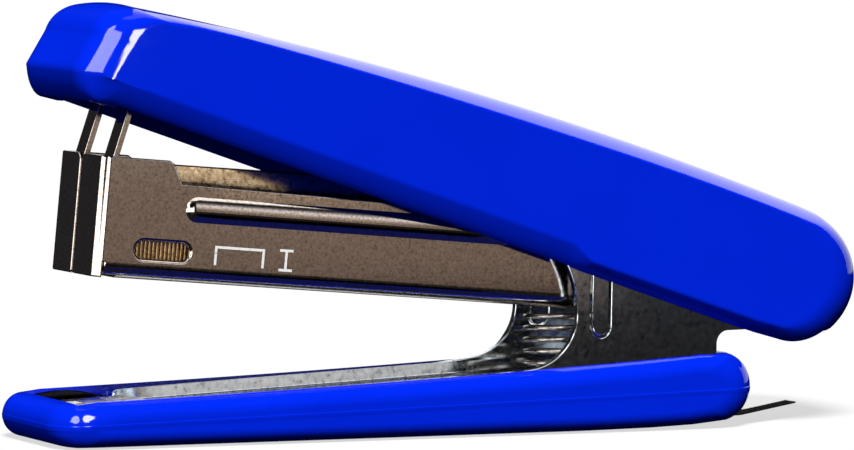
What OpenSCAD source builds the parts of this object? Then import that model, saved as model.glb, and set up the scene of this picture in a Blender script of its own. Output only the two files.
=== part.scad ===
// Mini stapler for No. 10 staples, with a staple remover tongue at the rear of its base.
// Millimetres, +Z up, front towards -X. The origin is the bottom centre of the resting stapler.
// The magazine and the handle turn on one pivot pin, so both are drawn level, with that pin at
// their own origin, and are then pitched to where they rest.

/* [Overall] */
// Length from the front of the base to the rear of the handle
overall_len = 105.5; // [105.2:0.1:105.8]
// Height of the pivot pin above the table
pivot_z = 17.6; // [17.4:0.1:17.8]
// Rest angle of the magazine, front up
magazine_pitch = 4.6; // [4.4:0.1:4.8]
// Rest angle of the handle, front up
handle_pitch = 18.2; // [18:0.1:18.4]

/* [Base] */
// Width of the base cover at its widest line
base_w = 20.4; // [20:0.1:21]
// Height of the base rim near the front
rim_front = 5.3; // [5.2:0.05:5.4]
// Height of the base rim in the middle
rim_middle = 6.7; // [6.6:0.05:6.8]
// Height of the base rim at the rear
rim_rear = 8.7; // [8.6:0.05:8.8]
// Rear end of the base cover
base_rear_x = 38.2; // [38:0.1:38.4]
// Outer width of the steel base frame
frame_w = 16.4; // [16.2:0.1:16.4]
// Sheet thickness of the base frame
frame_t = 0.9; // [0.8:0.05:0.9]
// Length of the remover tongue behind the base
tongue_len = 10; // [8:0.5:11]

/* [Magazine] */
// Outer width of the magazine channel
channel_w = 12.4; // [12.2:0.1:12.4]
// Height of the front tower of the channel
tower_h = 13.7; // [13.4:0.1:14]
// Height of the near channel wall behind the tower
wall_h = 11.2; // [11:0.1:11.4]
// Sheet thickness of the channel
channel_t = 0.6; // [0.5:0.05:0.65]
// Front face of the channel, from the pivot
channel_front = 91.3; // [91.25:0.05:91.35]
// Height of the pivot above the underside of the channel
channel_drop = 5.8; // [5.7:0.05:5.9]
// Width over a staple's legs
staple_w = 9.4; // [9.2:0.1:9.5]
// Height of a staple
staple_h = 4.7; // [4.6:0.1:4.8]
// Thickness of staple wire
staple_t = 0.5; // [0.45:0.05:0.5]
// Number of staples in the strip
staple_count = 44; // [20:1:44]

/* [Handle] */
// Width of the handle cover
handle_w = 20; // [19.8:0.1:20.2]
// Nose of the handle, from the pivot
nose_x = 97.5; // [97.3:0.1:97.7]
// Radius of the handle's rear end about the pivot
handle_rear_r = 8.65; // [8.6:0.05:8.7]
// Highest point of the handle's back above the pivot line
crown_z = 8.85; // [8.8:0.05:8.9]
// Radius of the arched back, seen from the side
crown_r = 552; // [500:1:600]
// Lower edge of the handle below the pivot line
handle_drop = 8.4; // [8.2:0.1:8.6]
// Wall thickness of the handle cover
cover_t = 1.3; // [1.2:0.05:1.4]
// Width of the driver blade
driver_w = 10.7; // [10.5:0.1:10.8]
// Thickness of the driver blade
driver_t = 0.7; // [0.5:0.05:0.7]

/* [Hidden] */
$fn = 48;

// Finishes as the object shows them
cover_blue = [0.02, 0.12, 0.86];
bright_steel = [0.78, 0.78, 0.76];
dark_steel = [0.35, 0.34, 0.33];
spring_steel = [0.62, 0.60, 0.58];
staple_gold = [0.80, 0.62, 0.36];

// Reach of a cut that passes right through
cut = 40;
// Sink of one shape into another that it is joined to
sink = 0.05;

// Pivot
pivot_x = overall_len / 2 - handle_rear_r;
pin_r = 1.5;
pin_fit = 0.05;
pin_head_r = 2.4;
pin_head_t = 0.35;
pin_end = 0.2;

// Base outline
base_front_x = -overall_len / 2;
base_nose_r = 2.45;
base_rear_r = 4;
base_rear_z = 4.6;
base_rear_up = 4.1;
base_rear_down = 3.9;
base_corner_front = 4.2;
base_corner_rear = 5;
base_top_fillet = 2.2;
base_foot_fillet = 2.5;
base_round_front = [-40, base_front_x + 2];
base_round_rear = [24, base_rear_x - 2];
rim_xs = [-44, -6, 32];
rim_zs = [rim_front, rim_middle, rim_rear];
base_inner_w = frame_w + 0.3;
base_floor_t = 1.0;
base_ledge_w = 1.3;
base_seat_gap = 0.03;
base_recess_front = base_front_x + 3.5;
base_hollow_front = -36;

// Base frame, whose floor climbs to the rear
floor_tilt = 2.7;
floor_z0 = 5.28;
floor_front_x = -48.1;
floor_rear_x = 32.6;
flange_front_x = -38.8;
flange_rear_x = 3;
flange_h = 1.5;
flange_round = [1.2, 0.8];
ear_inner = frame_w / 2 - frame_t;
ear_arc_z = 13.7;
ear_low_x = 7.0;
ear_low_r = [6.7, 6.3];
ear_high_x = 1.7;
ear_high_r = 12;
ear_boss_r = 6;
ear_tail_z = 11.4;
ear_tail_fillet = 1.5;
lance_x = 16.8;
lance_z = 12.3;
lance_top = 19;
lance_r = 1.45;
lance_cut = 0.5;

// Anvil
anvil_x = -45.6;
anvil_len = 5.6;
anvil_w = 12.4;
anvil_t = 0.9;
anvil_tail = 2.2;
clinch_r = 3;
clinch_depth = 0.45;
clinch_gap = 2.35;
clinch_len = 1.4;
anvil_rivet_x = -39.9;
anvil_rivet_y = 4;
anvil_rivet_foot = 0.6;
sunk_head_r = 1.8;
sunk_head_t = 0.5;

// Rivets
rivet_r = 1.2;
rivet_head_r = 2;
rivet_head_t = 0.5;
rivet_lift = 0.1;
base_rivet_low = 0.25;
base_rivet_xs = [23.5, 30];
rib_len = 5;

// Remover tongue
tongue_t = 0.7;
tongue_play = 0.1;
tongue_root_w = 13;
tongue_tip_w = 3;
tongue_tip_rise = 0.7;
tongue_edge = 0.12;
tongue_grind = 2.5;
tongue_inner_x = 20;
tongue_bend_x = base_rear_x - 1.6;
tongue_taper_x = base_rear_x - 1;
tongue_mouth = [tongue_bend_x - 6, base_rear_x + 2];
tongue_mouth_h = tongue_t + 0.5;

// Lift spring
lift_x = 15.7;
lift_r = 4;
lift_wire = 0.6;
lift_turns = 4.75;
lift_low = 6.7;
lift_high = 13.25;
seat_r = 2.6;
seat_h = 1.5;
seat_bevel = [0.5, 0.4];

// Magazine channel, seen from the pivot
channel_floor = -channel_drop;
channel_bend = 1.6;
channel_rear_r = channel_drop - 0.8;
channel_rear_top = -4;
tower_len = 8.6;
tower_ramp = 1.5;
wall_fall = 0.9;
far_wall_h = 13;
far_wall_climb = 0.2;
far_ramp = 0.8;
far_rise_rear = -50;
far_rise_end = -45;
flap_bend = 1.2;
flap_gap = 0.12;
flap_lift = 0.25;
exit_len = 3;
slot_x = -82.8;
slot_len = 7.3;
slot_w = 2.1;
slot_z = 3.4;
rib_front = -80.5;
rib_rear = -38;
rib_z = 8.35;
rib_w = 2.9;
rib_t = 0.4;

// Staple rail, strip and pusher
rail_w = 8;
rail_t = 0.5;
rail_h = 4.3;
rail_front = -88.5;
rail_rear = -18;
rail_stop_x = -25;
rail_nose_drop = 0.3;
rail_rivet_xs = [-80, -21.5];
rail_rivet_r = 0.9;
rail_rivet_head = [1.5, 0.3];
strip_front = -88.6;
strip_lift = 0.12;
strip_len = staple_count * staple_t;
pusher_front = strip_front + strip_len + 0.1;
pusher_len = 7.5;
pusher_t = 0.6;
pusher_play = 0.15;
pusher_lift = 0.5;
pusher_tab = [6, 3.2];
tongue_plate_t = 1.2;
tongue_plate_play = [0.5, 0.4];
rod_r = 0.7;
rod_z = channel_floor + channel_t + rail_t + 1.95;
rod_end = 0.8;
pusher_coil_r = 1.35;
pusher_wire = 0.4;
pusher_turns = 28;
coil_play = 0.1;

// Handle spring at the pivot, with one arm on the channel floor and one under the handle frame
torsion_r = 2.5;
torsion_wire = 0.6;
torsion_turns = 4;
torsion_w = 4.6;
torsion_low_arm = [[-11.5, -4.75], [-6, -3.6]];
torsion_high_arm = [[-6, 5.7], [-11.5, 8]];

// Handle
nose_r = 4.8;
nose_lean = 1;
nose_crease = -5.75;
nose_foot = [[2.2, -0.25], [1.0, 0.3]];
crown_x = -15;
crown_drop = 0.8;
crease_h = 2.75;
crease_h_rear = 1.5;
crease_step = [-32, -28.5];
bevel_w = 1;
rear_drop = 8.2;
handle_corner_front = 4;
handle_corner_rear = 6;
handle_top_fillet = 2;
handle_round_front = [-80, -nose_x + 2.5];
handle_round_rear = [-8, handle_rear_r - 1];
roof_t = 1.6;
roof_crown = 0.6;
nose_t = 1.8;
nose_slope = 2.6;
rear_t = 1.4;
rear_roof = 0.6;

// Handle frame
spine_t = 0.7;
spine_gap = 0.25;
spine_w = 14.2;
spine_wall = 0.55;
spine_front = -88.2;
spine_rear = 4.5;
spine_rear_fall = 1.2;
spine_boss_r = 5;
spine_edge = -1;
spine_edge_rear = -36;
tab_w = 10;
tab_low = -5;
lug_xs = [-72, -48];
lug_len = 4;
lug_h = 1;
lug_reach = 0.5;
lug_play = 0.1;

// Driver blade
driver_x = -89;
driver_top = 0.4;
driver_window = [-5.6, -14];
driver_leg_w = 2;
driver_bend = -13.4;
driver_tip = -20.8;
driver_tip_shift = 1.17;
driver_rivet_z = -2.6;
driver_rivet_y = 2.6;
driver_rivet_r = 0.9;
driver_head = [1.6, 0.5];

// Helpers

// Points on an arc of an ellipse, from angle a0 to a1, in steps steps
function arc(cx, cz, rx, rz, a0, a1, steps) =
    [for (i = [0 : steps]) let (a = a0 + (a1 - a0) * i / steps) [cx + rx * cos(a), cz + rz * sin(a)]];

// How far a fillet of radius r stands back at distance t from the side face
function fillet(r, t) = t >= r ? 0 : r - sqrt(r * r - (r - t) * (r - t));

// A share from 0 at a to 1 at b
function ramp(v, a, b) = min(1, max(0, (v - a) / (b - a)));

// A share that starts and stops gently
function ease(v) = v * v * (3 - 2 * v);

// Parabola through three heights at three places
function through(x, xs, zs) =
    zs[0] * (x - xs[1]) * (x - xs[2]) / ((xs[0] - xs[1]) * (xs[0] - xs[2]))
    + zs[1] * (x - xs[0]) * (x - xs[2]) / ((xs[1] - xs[0]) * (xs[1] - xs[2]))
    + zs[2] * (x - xs[0]) * (x - xs[1]) / ((xs[2] - xs[0]) * (xs[2] - xs[1]));

// A side-view shape drawn in X and Z, given a width from y0 to y1
module across(y0, y1) {
    translate([0, y1, 0])
    rotate([90, 0, 0])
    linear_extrude(y1 - y0)
    children();
}

// A shape drawn in Y and Z, drawn out along X from x0 to x1
module along(x0, x1) {
    translate([x0, 0, 0])
    rotate([90, 0, 90])
    linear_extrude(x1 - x0)
    children();
}

// A cylinder across the stapler, from y0 to y1
module cross_cylinder(r, y0, y1) {
    translate([0, y1, 0])
    rotate([90, 0, 0])
    cylinder(r = r, h = y1 - y0);
}

// The same piece on both sides
module both_sides() {
    children();
    mirror([0, 1, 0])
    children();
}

// A box that is centred on Y
module bar(x0, x1, w, z0, z1) {
    translate([x0, -w / 2, z0])
    cube([x1 - x0, w, z1 - z0]);
}

// Joins rings of equal length into one closed solid
module loft(rings) {
    n = len(rings[0]);
    last = len(rings) - 1;
    polyhedron(
        points = [for (ring = rings) each ring],
        faces = concat(
            [[for (i = [0 : n - 1]) i]],
            [for (k = [0 : last - 1], i = [0 : n - 1])
                let (a = k * n + i, b = k * n + (i + 1) % n)
                each [[a, a + n, b], [b, a + n, b + n]]],
            [[for (i = [n - 1 : -1 : 0]) last * n + i]]
        )
    );
}

// Unit vector
function unit(v) = v / norm(v);

// A round wire along a path; side is a direction that the path never runs along
module wire(path, r, side, sides = 6) {
    last = len(path) - 1;
    loft([for (i = [0 : last])
        let (
            ahead = unit(path[min(last, i + 1)] - path[max(0, i - 1)]),
            n1 = unit(cross(ahead, side)),
            n2 = cross(n1, ahead)
        )
        [for (k = [0 : sides - 1]) path[i] + r * (cos(360 * k / sides) * n1 - sin(360 * k / sides) * n2)]
    ]);
}

// Least clear distance between curls of a wire, measured on its path points
function least_gap(path, skip, wire_d) =
    min([for (i = [0 : len(path) - 1 - skip], j = [i + skip : len(path) - 1]) norm(path[i] - path[j])])
    - wire_d;

// Places

module in_magazine() {
    translate([pivot_x, 0, pivot_z])
    rotate([0, magazine_pitch, 0])
    children();
}

module in_handle() {
    translate([pivot_x, 0, pivot_z])
    rotate([0, handle_pitch, 0])
    children();
}

module on_floor() {
    translate([0, 0, floor_z0])
    rotate([0, -floor_tilt, 0])
    children();
}

// Top of the frame floor above the table
function floor_z(x) = floor_z0 + x * tan(floor_tilt);

// Base

function rim_z(x) = through(x, rim_xs, rim_zs);

// Side view of the base: x, z, share of the top fillet, share of the foot fillet
base_outline = concat(
    [for (a = [260 : -20 : 100])
        [
            base_front_x + base_nose_r + base_nose_r * cos(a),
            base_nose_r + base_nose_r * sin(a),
            max(0, sin(a)),
            max(0, -sin(a))
        ]],
    [for (x = [-46 : 8 : 30]) [x, rim_z(x), 1, 0]],
    [for (a = [80 : -20 : -80])
        [
            base_rear_x - base_rear_r + base_rear_r * cos(a),
            base_rear_z + (a > 0 ? base_rear_up : base_rear_down) * sin(a),
            max(0, sin(a)),
            max(0, -sin(a))
        ]],
    [[24, 0.15, 0, 1], [14, 0, 0, 1], [-14, 0, 0, 1], [-46, 0, 0, 1]]
);

// Distances from the side face at which both covers are drawn
side_steps = [0, 0.12, 0.45, 1, 1.7, 2.6, 3.8, 5, 6];

function base_ring(t, side) = [for (p = base_outline)
    [
        p[0]
            + fillet(base_corner_front, t) * ramp(p[0], base_round_front[0], base_round_front[1])
            - fillet(base_corner_rear, t) * ramp(p[0], base_round_rear[0], base_round_rear[1]),
        side * (base_w / 2 - t),
        p[1] - p[2] * fillet(base_top_fillet, t) + p[3] * fillet(base_foot_fillet, t)
    ]
];

module base_shape() {
    loft(concat(
        [for (t = side_steps) base_ring(t, -1)],
        [for (i = [len(side_steps) - 1 : -1 : 0]) base_ring(side_steps[i], 1)]
    ));
}

// Room for the frame, and the hollow below it between two ledges
module base_trough() {
    rear = floor_rear_x + frame_t / 3;
    ledge_y = base_inner_w / 2 - base_ledge_w;
    across(-base_inner_w / 2, base_inner_w / 2)
    polygon([
        [base_recess_front, floor_z(base_recess_front) - frame_t - base_seat_gap],
        [rear, floor_z(rear) - frame_t - base_seat_gap],
        [rear, cut],
        [base_recess_front, cut]
    ]);
    across(-ledge_y, ledge_y)
    polygon([
        [base_hollow_front, base_floor_t],
        [floor_rear_x, base_floor_t],
        [floor_rear_x, cut],
        [base_hollow_front, cut]
    ]);
}

// Cross ribs that the frame and the remover blade are riveted to
module rivet_ribs() {
    low = base_floor_t + tongue_t + tongue_play;
    for (x = base_rivet_xs)
    bar(x - rib_len / 2, x + rib_len / 2, base_inner_w,
        low, floor_z(x - rib_len / 2) - frame_t - base_seat_gap);
}

module base_cover() {
    color(cover_blue)
    difference() {
        base_shape();
        difference() {
            base_trough();
            rivet_ribs();
        }
        bar(tongue_mouth[0], tongue_mouth[1], tongue_root_w + 4 * tongue_play,
            base_floor_t, base_floor_t + tongue_mouth_h);
        for (x = base_rivet_xs)
        translate([x, 0, -1])
        cylinder(r = rivet_r, h = cut);
        for (x = base_rivet_xs)
        translate([x, 0, -1])
        cylinder(r = rivet_head_r + rivet_lift, h = 1 + base_rivet_low + rivet_head_t + rivet_lift);
        on_floor()
        anvil_rivet_holes();
    }
}

module anvil_rivet_holes() {
    both_sides()
    translate([anvil_rivet_x, anvil_rivet_y, -frame_t - anvil_rivet_foot])
    cylinder(r = rivet_r, h = cut);
}

// Outline of one flange with its ear, seen from the side
ear_outline = concat(
    [[flange_front_x, floor_z(flange_front_x) - frame_t]],
    [[flange_front_x, floor_z(flange_front_x) + flange_h - flange_round[1]]],
    [[flange_front_x + flange_round[0], floor_z(flange_front_x + flange_round[0]) + flange_h]],
    [[flange_rear_x, floor_z(flange_rear_x) + flange_h]],
    arc(ear_low_x, ear_arc_z, ear_low_r[0], ear_low_r[1], -85, 0, 8),
    arc(ear_high_x, ear_arc_z, ear_high_r, ear_high_r, 6, 33, 4),
    arc(pivot_x, pivot_z, ear_boss_r, ear_boss_r, 100, -90, 14),
    arc(floor_rear_x + ear_tail_fillet, ear_tail_z - ear_tail_fillet,
        ear_tail_fillet, ear_tail_fillet, 90, 180, 5),
    [[floor_rear_x, floor_z(floor_rear_x) - frame_t]]
);

// Slit that frees the spring tongue in an ear
module lance_slit() {
    inner_r = lance_r - lance_cut;
    difference() {
        union() {
            translate([lance_x, lance_z])
            circle(r = lance_r);
            translate([lance_x - lance_r, lance_z])
            square([2 * lance_r, lance_top - lance_z]);
        }
        translate([lance_x, lance_z])
        circle(r = inner_r);
        translate([lance_x - inner_r, lance_z])
        square([2 * inner_r, lance_top]);
    }
}

module base_frame() {
    color(bright_steel)
    difference() {
        union() {
            on_floor()
            bar(floor_front_x, floor_rear_x, frame_w - frame_t, -frame_t, 0);
            both_sides()
            across(ear_inner, frame_w / 2)
            difference() {
                polygon(ear_outline);
                lance_slit();
            }
        }
        translate([pivot_x, 0, pivot_z])
        cross_cylinder(pin_r, -frame_w, frame_w);
        for (x = base_rivet_xs)
        translate([x, 0, 0])
        cylinder(r = rivet_r, h = cut / 3);
        on_floor()
        anvil_rivet_holes();
    }
}

module anvil_plate() {
    color(dark_steel)
    on_floor()
    difference() {
        bar(anvil_x - anvil_len / 2, anvil_rivet_x + anvil_tail, anvil_w, 0, anvil_t);
        both_sides()
        translate([anvil_x - clinch_len / 2, clinch_gap, anvil_t - clinch_depth + clinch_r])
        rotate([0, 90, 0])
        cylinder(r = clinch_r, h = clinch_len);
        anvil_rivet_holes();
        sunk_heads();
    }
}

// Sunk heads of the anvil rivets, flush with the plate
module sunk_heads() {
    both_sides()
    translate([anvil_rivet_x, anvil_rivet_y, anvil_t - sunk_head_t])
    cylinder(r1 = rivet_r, r2 = sunk_head_r, h = sunk_head_t);
}

module anvil_rivets() {
    shank = frame_t + anvil_rivet_foot + anvil_t - sunk_head_t;
    color(bright_steel)
    on_floor() {
        sunk_heads();
        both_sides()
        translate([anvil_rivet_x, anvil_rivet_y, -frame_t - anvil_rivet_foot])
        cylinder(r = rivet_r, h = shank);
    }
}

module remover_blade() {
    low = base_floor_t;
    tip_x = base_rear_x + tongue_len;
    tip_low = low + tongue_tip_rise;
    color(bright_steel)
    difference() {
        intersection() {
            across(-tongue_root_w, tongue_root_w)
            polygon([
                [tongue_inner_x, low],
                [tongue_bend_x, low],
                [tip_x, tip_low],
                [tip_x, tip_low + tongue_edge],
                [tip_x - tongue_grind, tip_low + tongue_t - tongue_edge],
                [tongue_bend_x, low + tongue_t],
                [tongue_inner_x, low + tongue_t]
            ]);
            linear_extrude(cut)
            polygon(concat(
                [[tongue_inner_x, -tongue_root_w / 2], [tongue_taper_x, -tongue_root_w / 2]],
                arc(tip_x - tongue_tip_w / 2, 0, tongue_tip_w / 2, tongue_tip_w / 2, -60, 60, 6),
                [[tongue_taper_x, tongue_root_w / 2], [tongue_inner_x, tongue_root_w / 2]]
            ));
        }
        for (x = base_rivet_xs)
        translate([x, 0, 0])
        cylinder(r = rivet_r, h = cut);
    }
}

module base_rivets() {
    color(bright_steel)
    for (x = base_rivet_xs)
    translate([x, 0, base_rivet_low]) {
        grip = floor_z(x) + rivet_lift - base_rivet_low;
        cylinder(r = rivet_head_r, h = rivet_head_t);
        cylinder(r = rivet_r, h = grip);
        translate([0, 0, grip])
        cylinder(r = rivet_head_r, h = rivet_head_t);
    }
}

lift_steps = 8 * lift_turns;
lift_end = 45 * lift_steps;
lift_path = concat(
    [[lift_x + lift_r, -lift_wire, lift_low]],
    [for (i = [0 : lift_steps])
        let (a = 45 * i, climb = (lift_high - lift_low) * i / lift_steps)
        [lift_x + lift_r * cos(a), lift_r * sin(a), lift_low + climb]],
    [[
        lift_x + lift_r * cos(lift_end) - lift_wire * sin(lift_end),
        lift_r * sin(lift_end) + lift_wire * cos(lift_end),
        lift_high
    ]]
);
echo("least gap in lift_spring", least_gap(lift_path, 5, lift_wire));

module lift_spring() {
    color(spring_steel)
    wire(lift_path, lift_wire / 2, [0, 0, 1]);
}

module spring_seat() {
    color(bright_steel)
    on_floor()
    translate([lift_x, 0, 0]) {
        cylinder(r = seat_r, h = seat_h - seat_bevel[1]);
        translate([0, 0, seat_h - seat_bevel[1]])
        cylinder(r1 = seat_r, r2 = seat_r - seat_bevel[0], h = seat_bevel[1]);
    }
}

module pivot_pin() {
    color(bright_steel)
    translate([pivot_x, 0, pivot_z]) {
        cross_cylinder(pin_r, -frame_w / 2, frame_w / 2 + pin_end);
        cross_cylinder(pin_head_r, -frame_w / 2 - pin_head_t, -frame_w / 2);
    }
}

module pivot_washer() {
    color(bright_steel)
    translate([pivot_x, 0, pivot_z])
    difference() {
        cross_cylinder(pin_head_r, frame_w / 2, frame_w / 2 + pin_head_t);
        cross_cylinder(pin_r, 0, frame_w);
    }
}

// Magazine

// Half of the section of a bent sheet with a round lower corner
function channel_half(w, bend, low) = concat(
    [[0, low]],
    arc(w - bend, low + bend, bend, bend, -90, 0, 6),
    [[w, low + cut]]
);

module channel_section() {
    half = channel_w / 2;
    outer = channel_half(half, channel_bend, 0);
    inner = channel_half(half - channel_t, channel_bend - channel_t, channel_t);
    sheet = concat(outer, [for (i = [len(inner) - 1 : -1 : 0]) inner[i]]);
    polygon(sheet);
    mirror([1, 0])
    polygon(sheet);
}

tower_end = -channel_front + tower_len;
tower_top = channel_floor + tower_h;

// Top edge of the near wall, which falls a little to the rear
function wall_top(x) =
    channel_floor + wall_h - wall_fall * (x - tower_end) / (channel_rear_top - tower_end);

// Side view of the channel walls with the higher far wall
module channel_side() {
    polygon(concat(
        [[-channel_front, channel_floor - 1]],
        [[-channel_front, tower_top]],
        [[tower_end, tower_top]],
        [[tower_end + far_ramp, channel_floor + far_wall_h]],
        [[far_rise_rear, channel_floor + far_wall_h + far_wall_climb]],
        [[far_rise_end, wall_top(far_rise_end)]],
        [[channel_rear_top, wall_top(channel_rear_top)]],
        arc(0, 0, channel_rear_r, channel_rear_r, 70, -70, 10),
        [[channel_rear_top - 2, channel_floor - 1]]
    ));
}

// What the near wall lacks of the far wall
module near_trim() {
    ramp_end = tower_end + tower_ramp;
    across(-channel_w, 0)
    polygon([
        [tower_end, tower_top],
        [ramp_end, wall_top(ramp_end)],
        [far_rise_end, wall_top(far_rise_end)],
        [far_rise_end, cut],
        [tower_end, cut]
    ]);
}

// Front flap and its bend, seen from above
module flap_plan() {
    half = channel_w / 2;
    front = -channel_front;
    bend_x = front + flap_bend;
    inner_r = flap_bend - channel_t;
    polygon(concat(
        [[front, flap_gap]],
        [[front + channel_t, flap_gap]],
        arc(bend_x, half - flap_bend, inner_r, inner_r, 180, 90, 5),
        [[bend_x + channel_t / 2, half - channel_t], [bend_x + channel_t / 2, half]],
        arc(bend_x, half - flap_bend, flap_bend, flap_bend, 90, 180, 5)
    ));
}

// A shape with round ends from x0 to x1, w high, its middle at height z above the channel floor
module obround(x0, x1, w, z) {
    r = w / 2;
    translate([0, channel_floor + z]) {
        for (x = [x0 + r, x1 - r])
        translate([x, 0])
        circle(r = r);
        translate([x0 + r, -r])
        square([x1 - x0 - w, w]);
    }
}

module magazine_channel() {
    half = channel_w / 2;
    color(bright_steel)
    in_magazine()
    difference() {
        union() {
            intersection() {
                translate([0, 0, channel_floor])
                along(-channel_front + flap_bend, cut)
                channel_section();
                across(-half, half)
                channel_side();
            }
            both_sides()
            translate([0, 0, channel_floor + flap_lift])
            linear_extrude(tower_h - flap_lift)
            flap_plan();
            both_sides()
            across(half - sink, half + rib_t)
            obround(rib_front, rib_rear, rib_w, rib_z);
        }
        near_trim();
        across(-channel_w, channel_w)
        obround(slot_x - slot_len / 2, slot_x + slot_len / 2, slot_w, slot_z);
        bar(-channel_front - 1, -channel_front + exit_len, channel_w - 2 * channel_t - 2 * sink,
            channel_floor - 1, channel_floor + channel_bend);
        cross_cylinder(pin_r + pin_fit, -channel_w, channel_w);
        rail_rivet_holes();
    }
}

module rail_rivet_holes() {
    for (x = rail_rivet_xs)
    translate([x, 0, channel_floor - 1])
    cylinder(r = rail_rivet_r, h = channel_t + rail_t + 2);
}

module staple_rail() {
    low = channel_floor + channel_t;
    color(bright_steel)
    in_magazine()
    difference() {
        union() {
            bar(rail_front, rail_rear, rail_w, low, low + rail_t);
            both_sides()
            translate([rail_front, rail_w / 2 - rail_t, low])
            cube([rail_stop_x + rail_t - rail_front, rail_t, rail_h]);
            bar(rail_front, rail_front + rail_t, rail_w, low, low + rail_h - rail_nose_drop);
            bar(rail_stop_x, rail_stop_x + rail_t, rail_w, low, low + rail_h);
        }
        translate([rail_front - 1, 0, rod_z])
        rotate([0, 90, 0])
        cylinder(r = rod_r, h = rail_rear - rail_front);
        rail_rivet_holes();
    }
}

module rail_rivets() {
    color(bright_steel)
    in_magazine()
    for (x = rail_rivet_xs)
    translate([x, 0, channel_floor]) {
        cylinder(r = rail_rivet_r, h = channel_t + rail_t);
        translate([0, 0, channel_t + rail_t])
        cylinder(r = rail_rivet_head[0], h = rail_rivet_head[1]);
    }
}

module staple_strip() {
    low = channel_floor + channel_t + strip_lift;
    rear = strip_front + strip_len;
    color(staple_gold)
    in_magazine()
    difference() {
        bar(strip_front, rear, staple_w, low, low + staple_h);
        bar(strip_front - 1, rear + 1, staple_w - 2 * staple_t, low - 1, low + staple_h - staple_t);
    }
}

module pusher() {
    low = channel_floor + channel_t;
    top = low + rail_h + pusher_play;
    inner_w = rail_w + 2 * pusher_play;
    rear = pusher_front + pusher_len;
    plate_w = rail_w - 2 * rail_t - tongue_plate_play[0];
    color(dark_steel)
    in_magazine()
    difference() {
        union() {
            bar(pusher_front, rear, inner_w + 2 * pusher_t, top, top + pusher_t);
            both_sides()
            translate([pusher_front, inner_w / 2, low + pusher_lift])
            cube([pusher_len, pusher_t, top - low]);
            bar(rear - tongue_plate_t, rear, plate_w, low + rail_t + tongue_plate_play[1], top + sink);
            bar(rear - pusher_t, rear, pusher_tab[0],
                top + pusher_t - sink, top + pusher_t + pusher_tab[1]);
        }
        translate([pusher_front - 1, 0, rod_z])
        rotate([0, 90, 0])
        cylinder(r = rod_r + pin_fit, h = pusher_len + 2);
    }
}

coil_front = pusher_front + pusher_len + pusher_wire / 2 + coil_play;
coil_rear = rail_stop_x - pusher_wire / 2 - coil_play;
pusher_steps = 8 * pusher_turns;
pusher_path = concat(
    [[coil_front, pusher_coil_r, rod_z - pusher_wire]],
    [for (i = [0 : pusher_steps])
        let (a = 45 * i, x = coil_front + (coil_rear - coil_front) * i / pusher_steps)
        [x, pusher_coil_r * cos(a), rod_z + pusher_coil_r * sin(a)]],
    [[coil_rear, pusher_coil_r, rod_z + pusher_wire]]
);
echo("least gap in pusher_spring", least_gap(pusher_path, 5, pusher_wire));

module pusher_spring() {
    color(spring_steel)
    in_magazine()
    wire(pusher_path, pusher_wire / 2, [1, 0, 0]);
}

module pusher_rod() {
    color(bright_steel)
    in_magazine()
    translate([rail_front, 0, rod_z])
    rotate([0, 90, 0])
    cylinder(r = rod_r, h = rail_stop_x + rail_t - rail_front + rod_end);
}

torsion_steps = 8 * torsion_turns + 4;
torsion_y = torsion_w / 2;
torsion_path = concat(
    [for (p = torsion_low_arm) [p[0], -torsion_y, p[1]]],
    [for (i = [0 : torsion_steps])
        let (a = -90 + 45 * i)
        [torsion_r * cos(a), -torsion_y + torsion_w * i / torsion_steps, torsion_r * sin(a)]],
    [for (p = torsion_high_arm) [p[0], torsion_y, p[1]]]
);
echo("least gap in handle_spring", least_gap(torsion_path, 5, torsion_wire));

module handle_spring() {
    color(spring_steel)
    in_magazine()
    wire(torsion_path, torsion_wire / 2, [0, 1, 0]);
}

// Handle

// Arched back of the handle
function back_z(x) = crown_z - (x - crown_x) * (x - crown_x) / (2 * crown_r);

nose_top_x = -nose_x + nose_lean + nose_r;
nose_top_z = back_z(nose_top_x);

// Side view of the handle: x, z, share of the top fillet, share of the lower bevel
handle_outline = concat(
    [[-nose_x, nose_crease, 0, 0]],
    [for (a = [180 : -15 : 90])
        [nose_top_x + nose_r * cos(a), nose_top_z - nose_r + nose_r * sin(a), max(0, sin(a)), 0]],
    [for (x = [-86 : 8.5 : -1]) [x, back_z(x), 1, 0]],
    [for (a = [80 : -10 : -90])
        [
            handle_rear_r * cos(a),
            (a > 0 ? handle_rear_r : rear_drop) * sin(a),
            max(0, sin(a)),
            max(0, -sin(a))
        ]],
    [[-12, -handle_drop, 0, 1]],
    [for (i = [4 : -1 : 0])
        [crease_step[0] + (crease_step[1] - crease_step[0]) * i / 4, -handle_drop, 0, 1]],
    [[-62, -handle_drop, 0, 1]],
    [for (p = nose_foot) [-nose_x + p[0], -handle_drop + p[1], 0, 1]]
);

// Height of the lower bevel at distance t from the side face
function bevel(x, t) =
    (crease_h + (crease_h_rear - crease_h) * ease(ramp(x, crease_step[0], crease_step[1])))
    * max(0, 1 - t / bevel_w);

// Fall of the rounded back towards the sides
function crown_fall(t) = crown_drop * pow((handle_w / 2 - t) * 2 / handle_w, 2);

function handle_ring(t, side) = [for (p = handle_outline)
    [
        p[0]
            + fillet(handle_corner_front, t) * ramp(p[0], handle_round_front[0], handle_round_front[1])
            - fillet(handle_corner_rear, t) * ramp(p[0], handle_round_rear[0], handle_round_rear[1]),
        side * (handle_w / 2 - t),
        p[1] - p[2] * (fillet(handle_top_fillet, t) + crown_fall(t)) + p[3] * bevel(p[0], t)
    ]
];

module handle_shape() {
    loft(concat(
        [for (t = side_steps) handle_ring(t, -1)],
        [handle_ring(handle_w / 2, 1)],
        [for (i = [len(side_steps) - 1 : -1 : 0]) handle_ring(side_steps[i], 1)]
    ));
}

// Underside of the roof inside the cover
function roof_z(x) = back_z(x) - roof_t - roof_crown;

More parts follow.
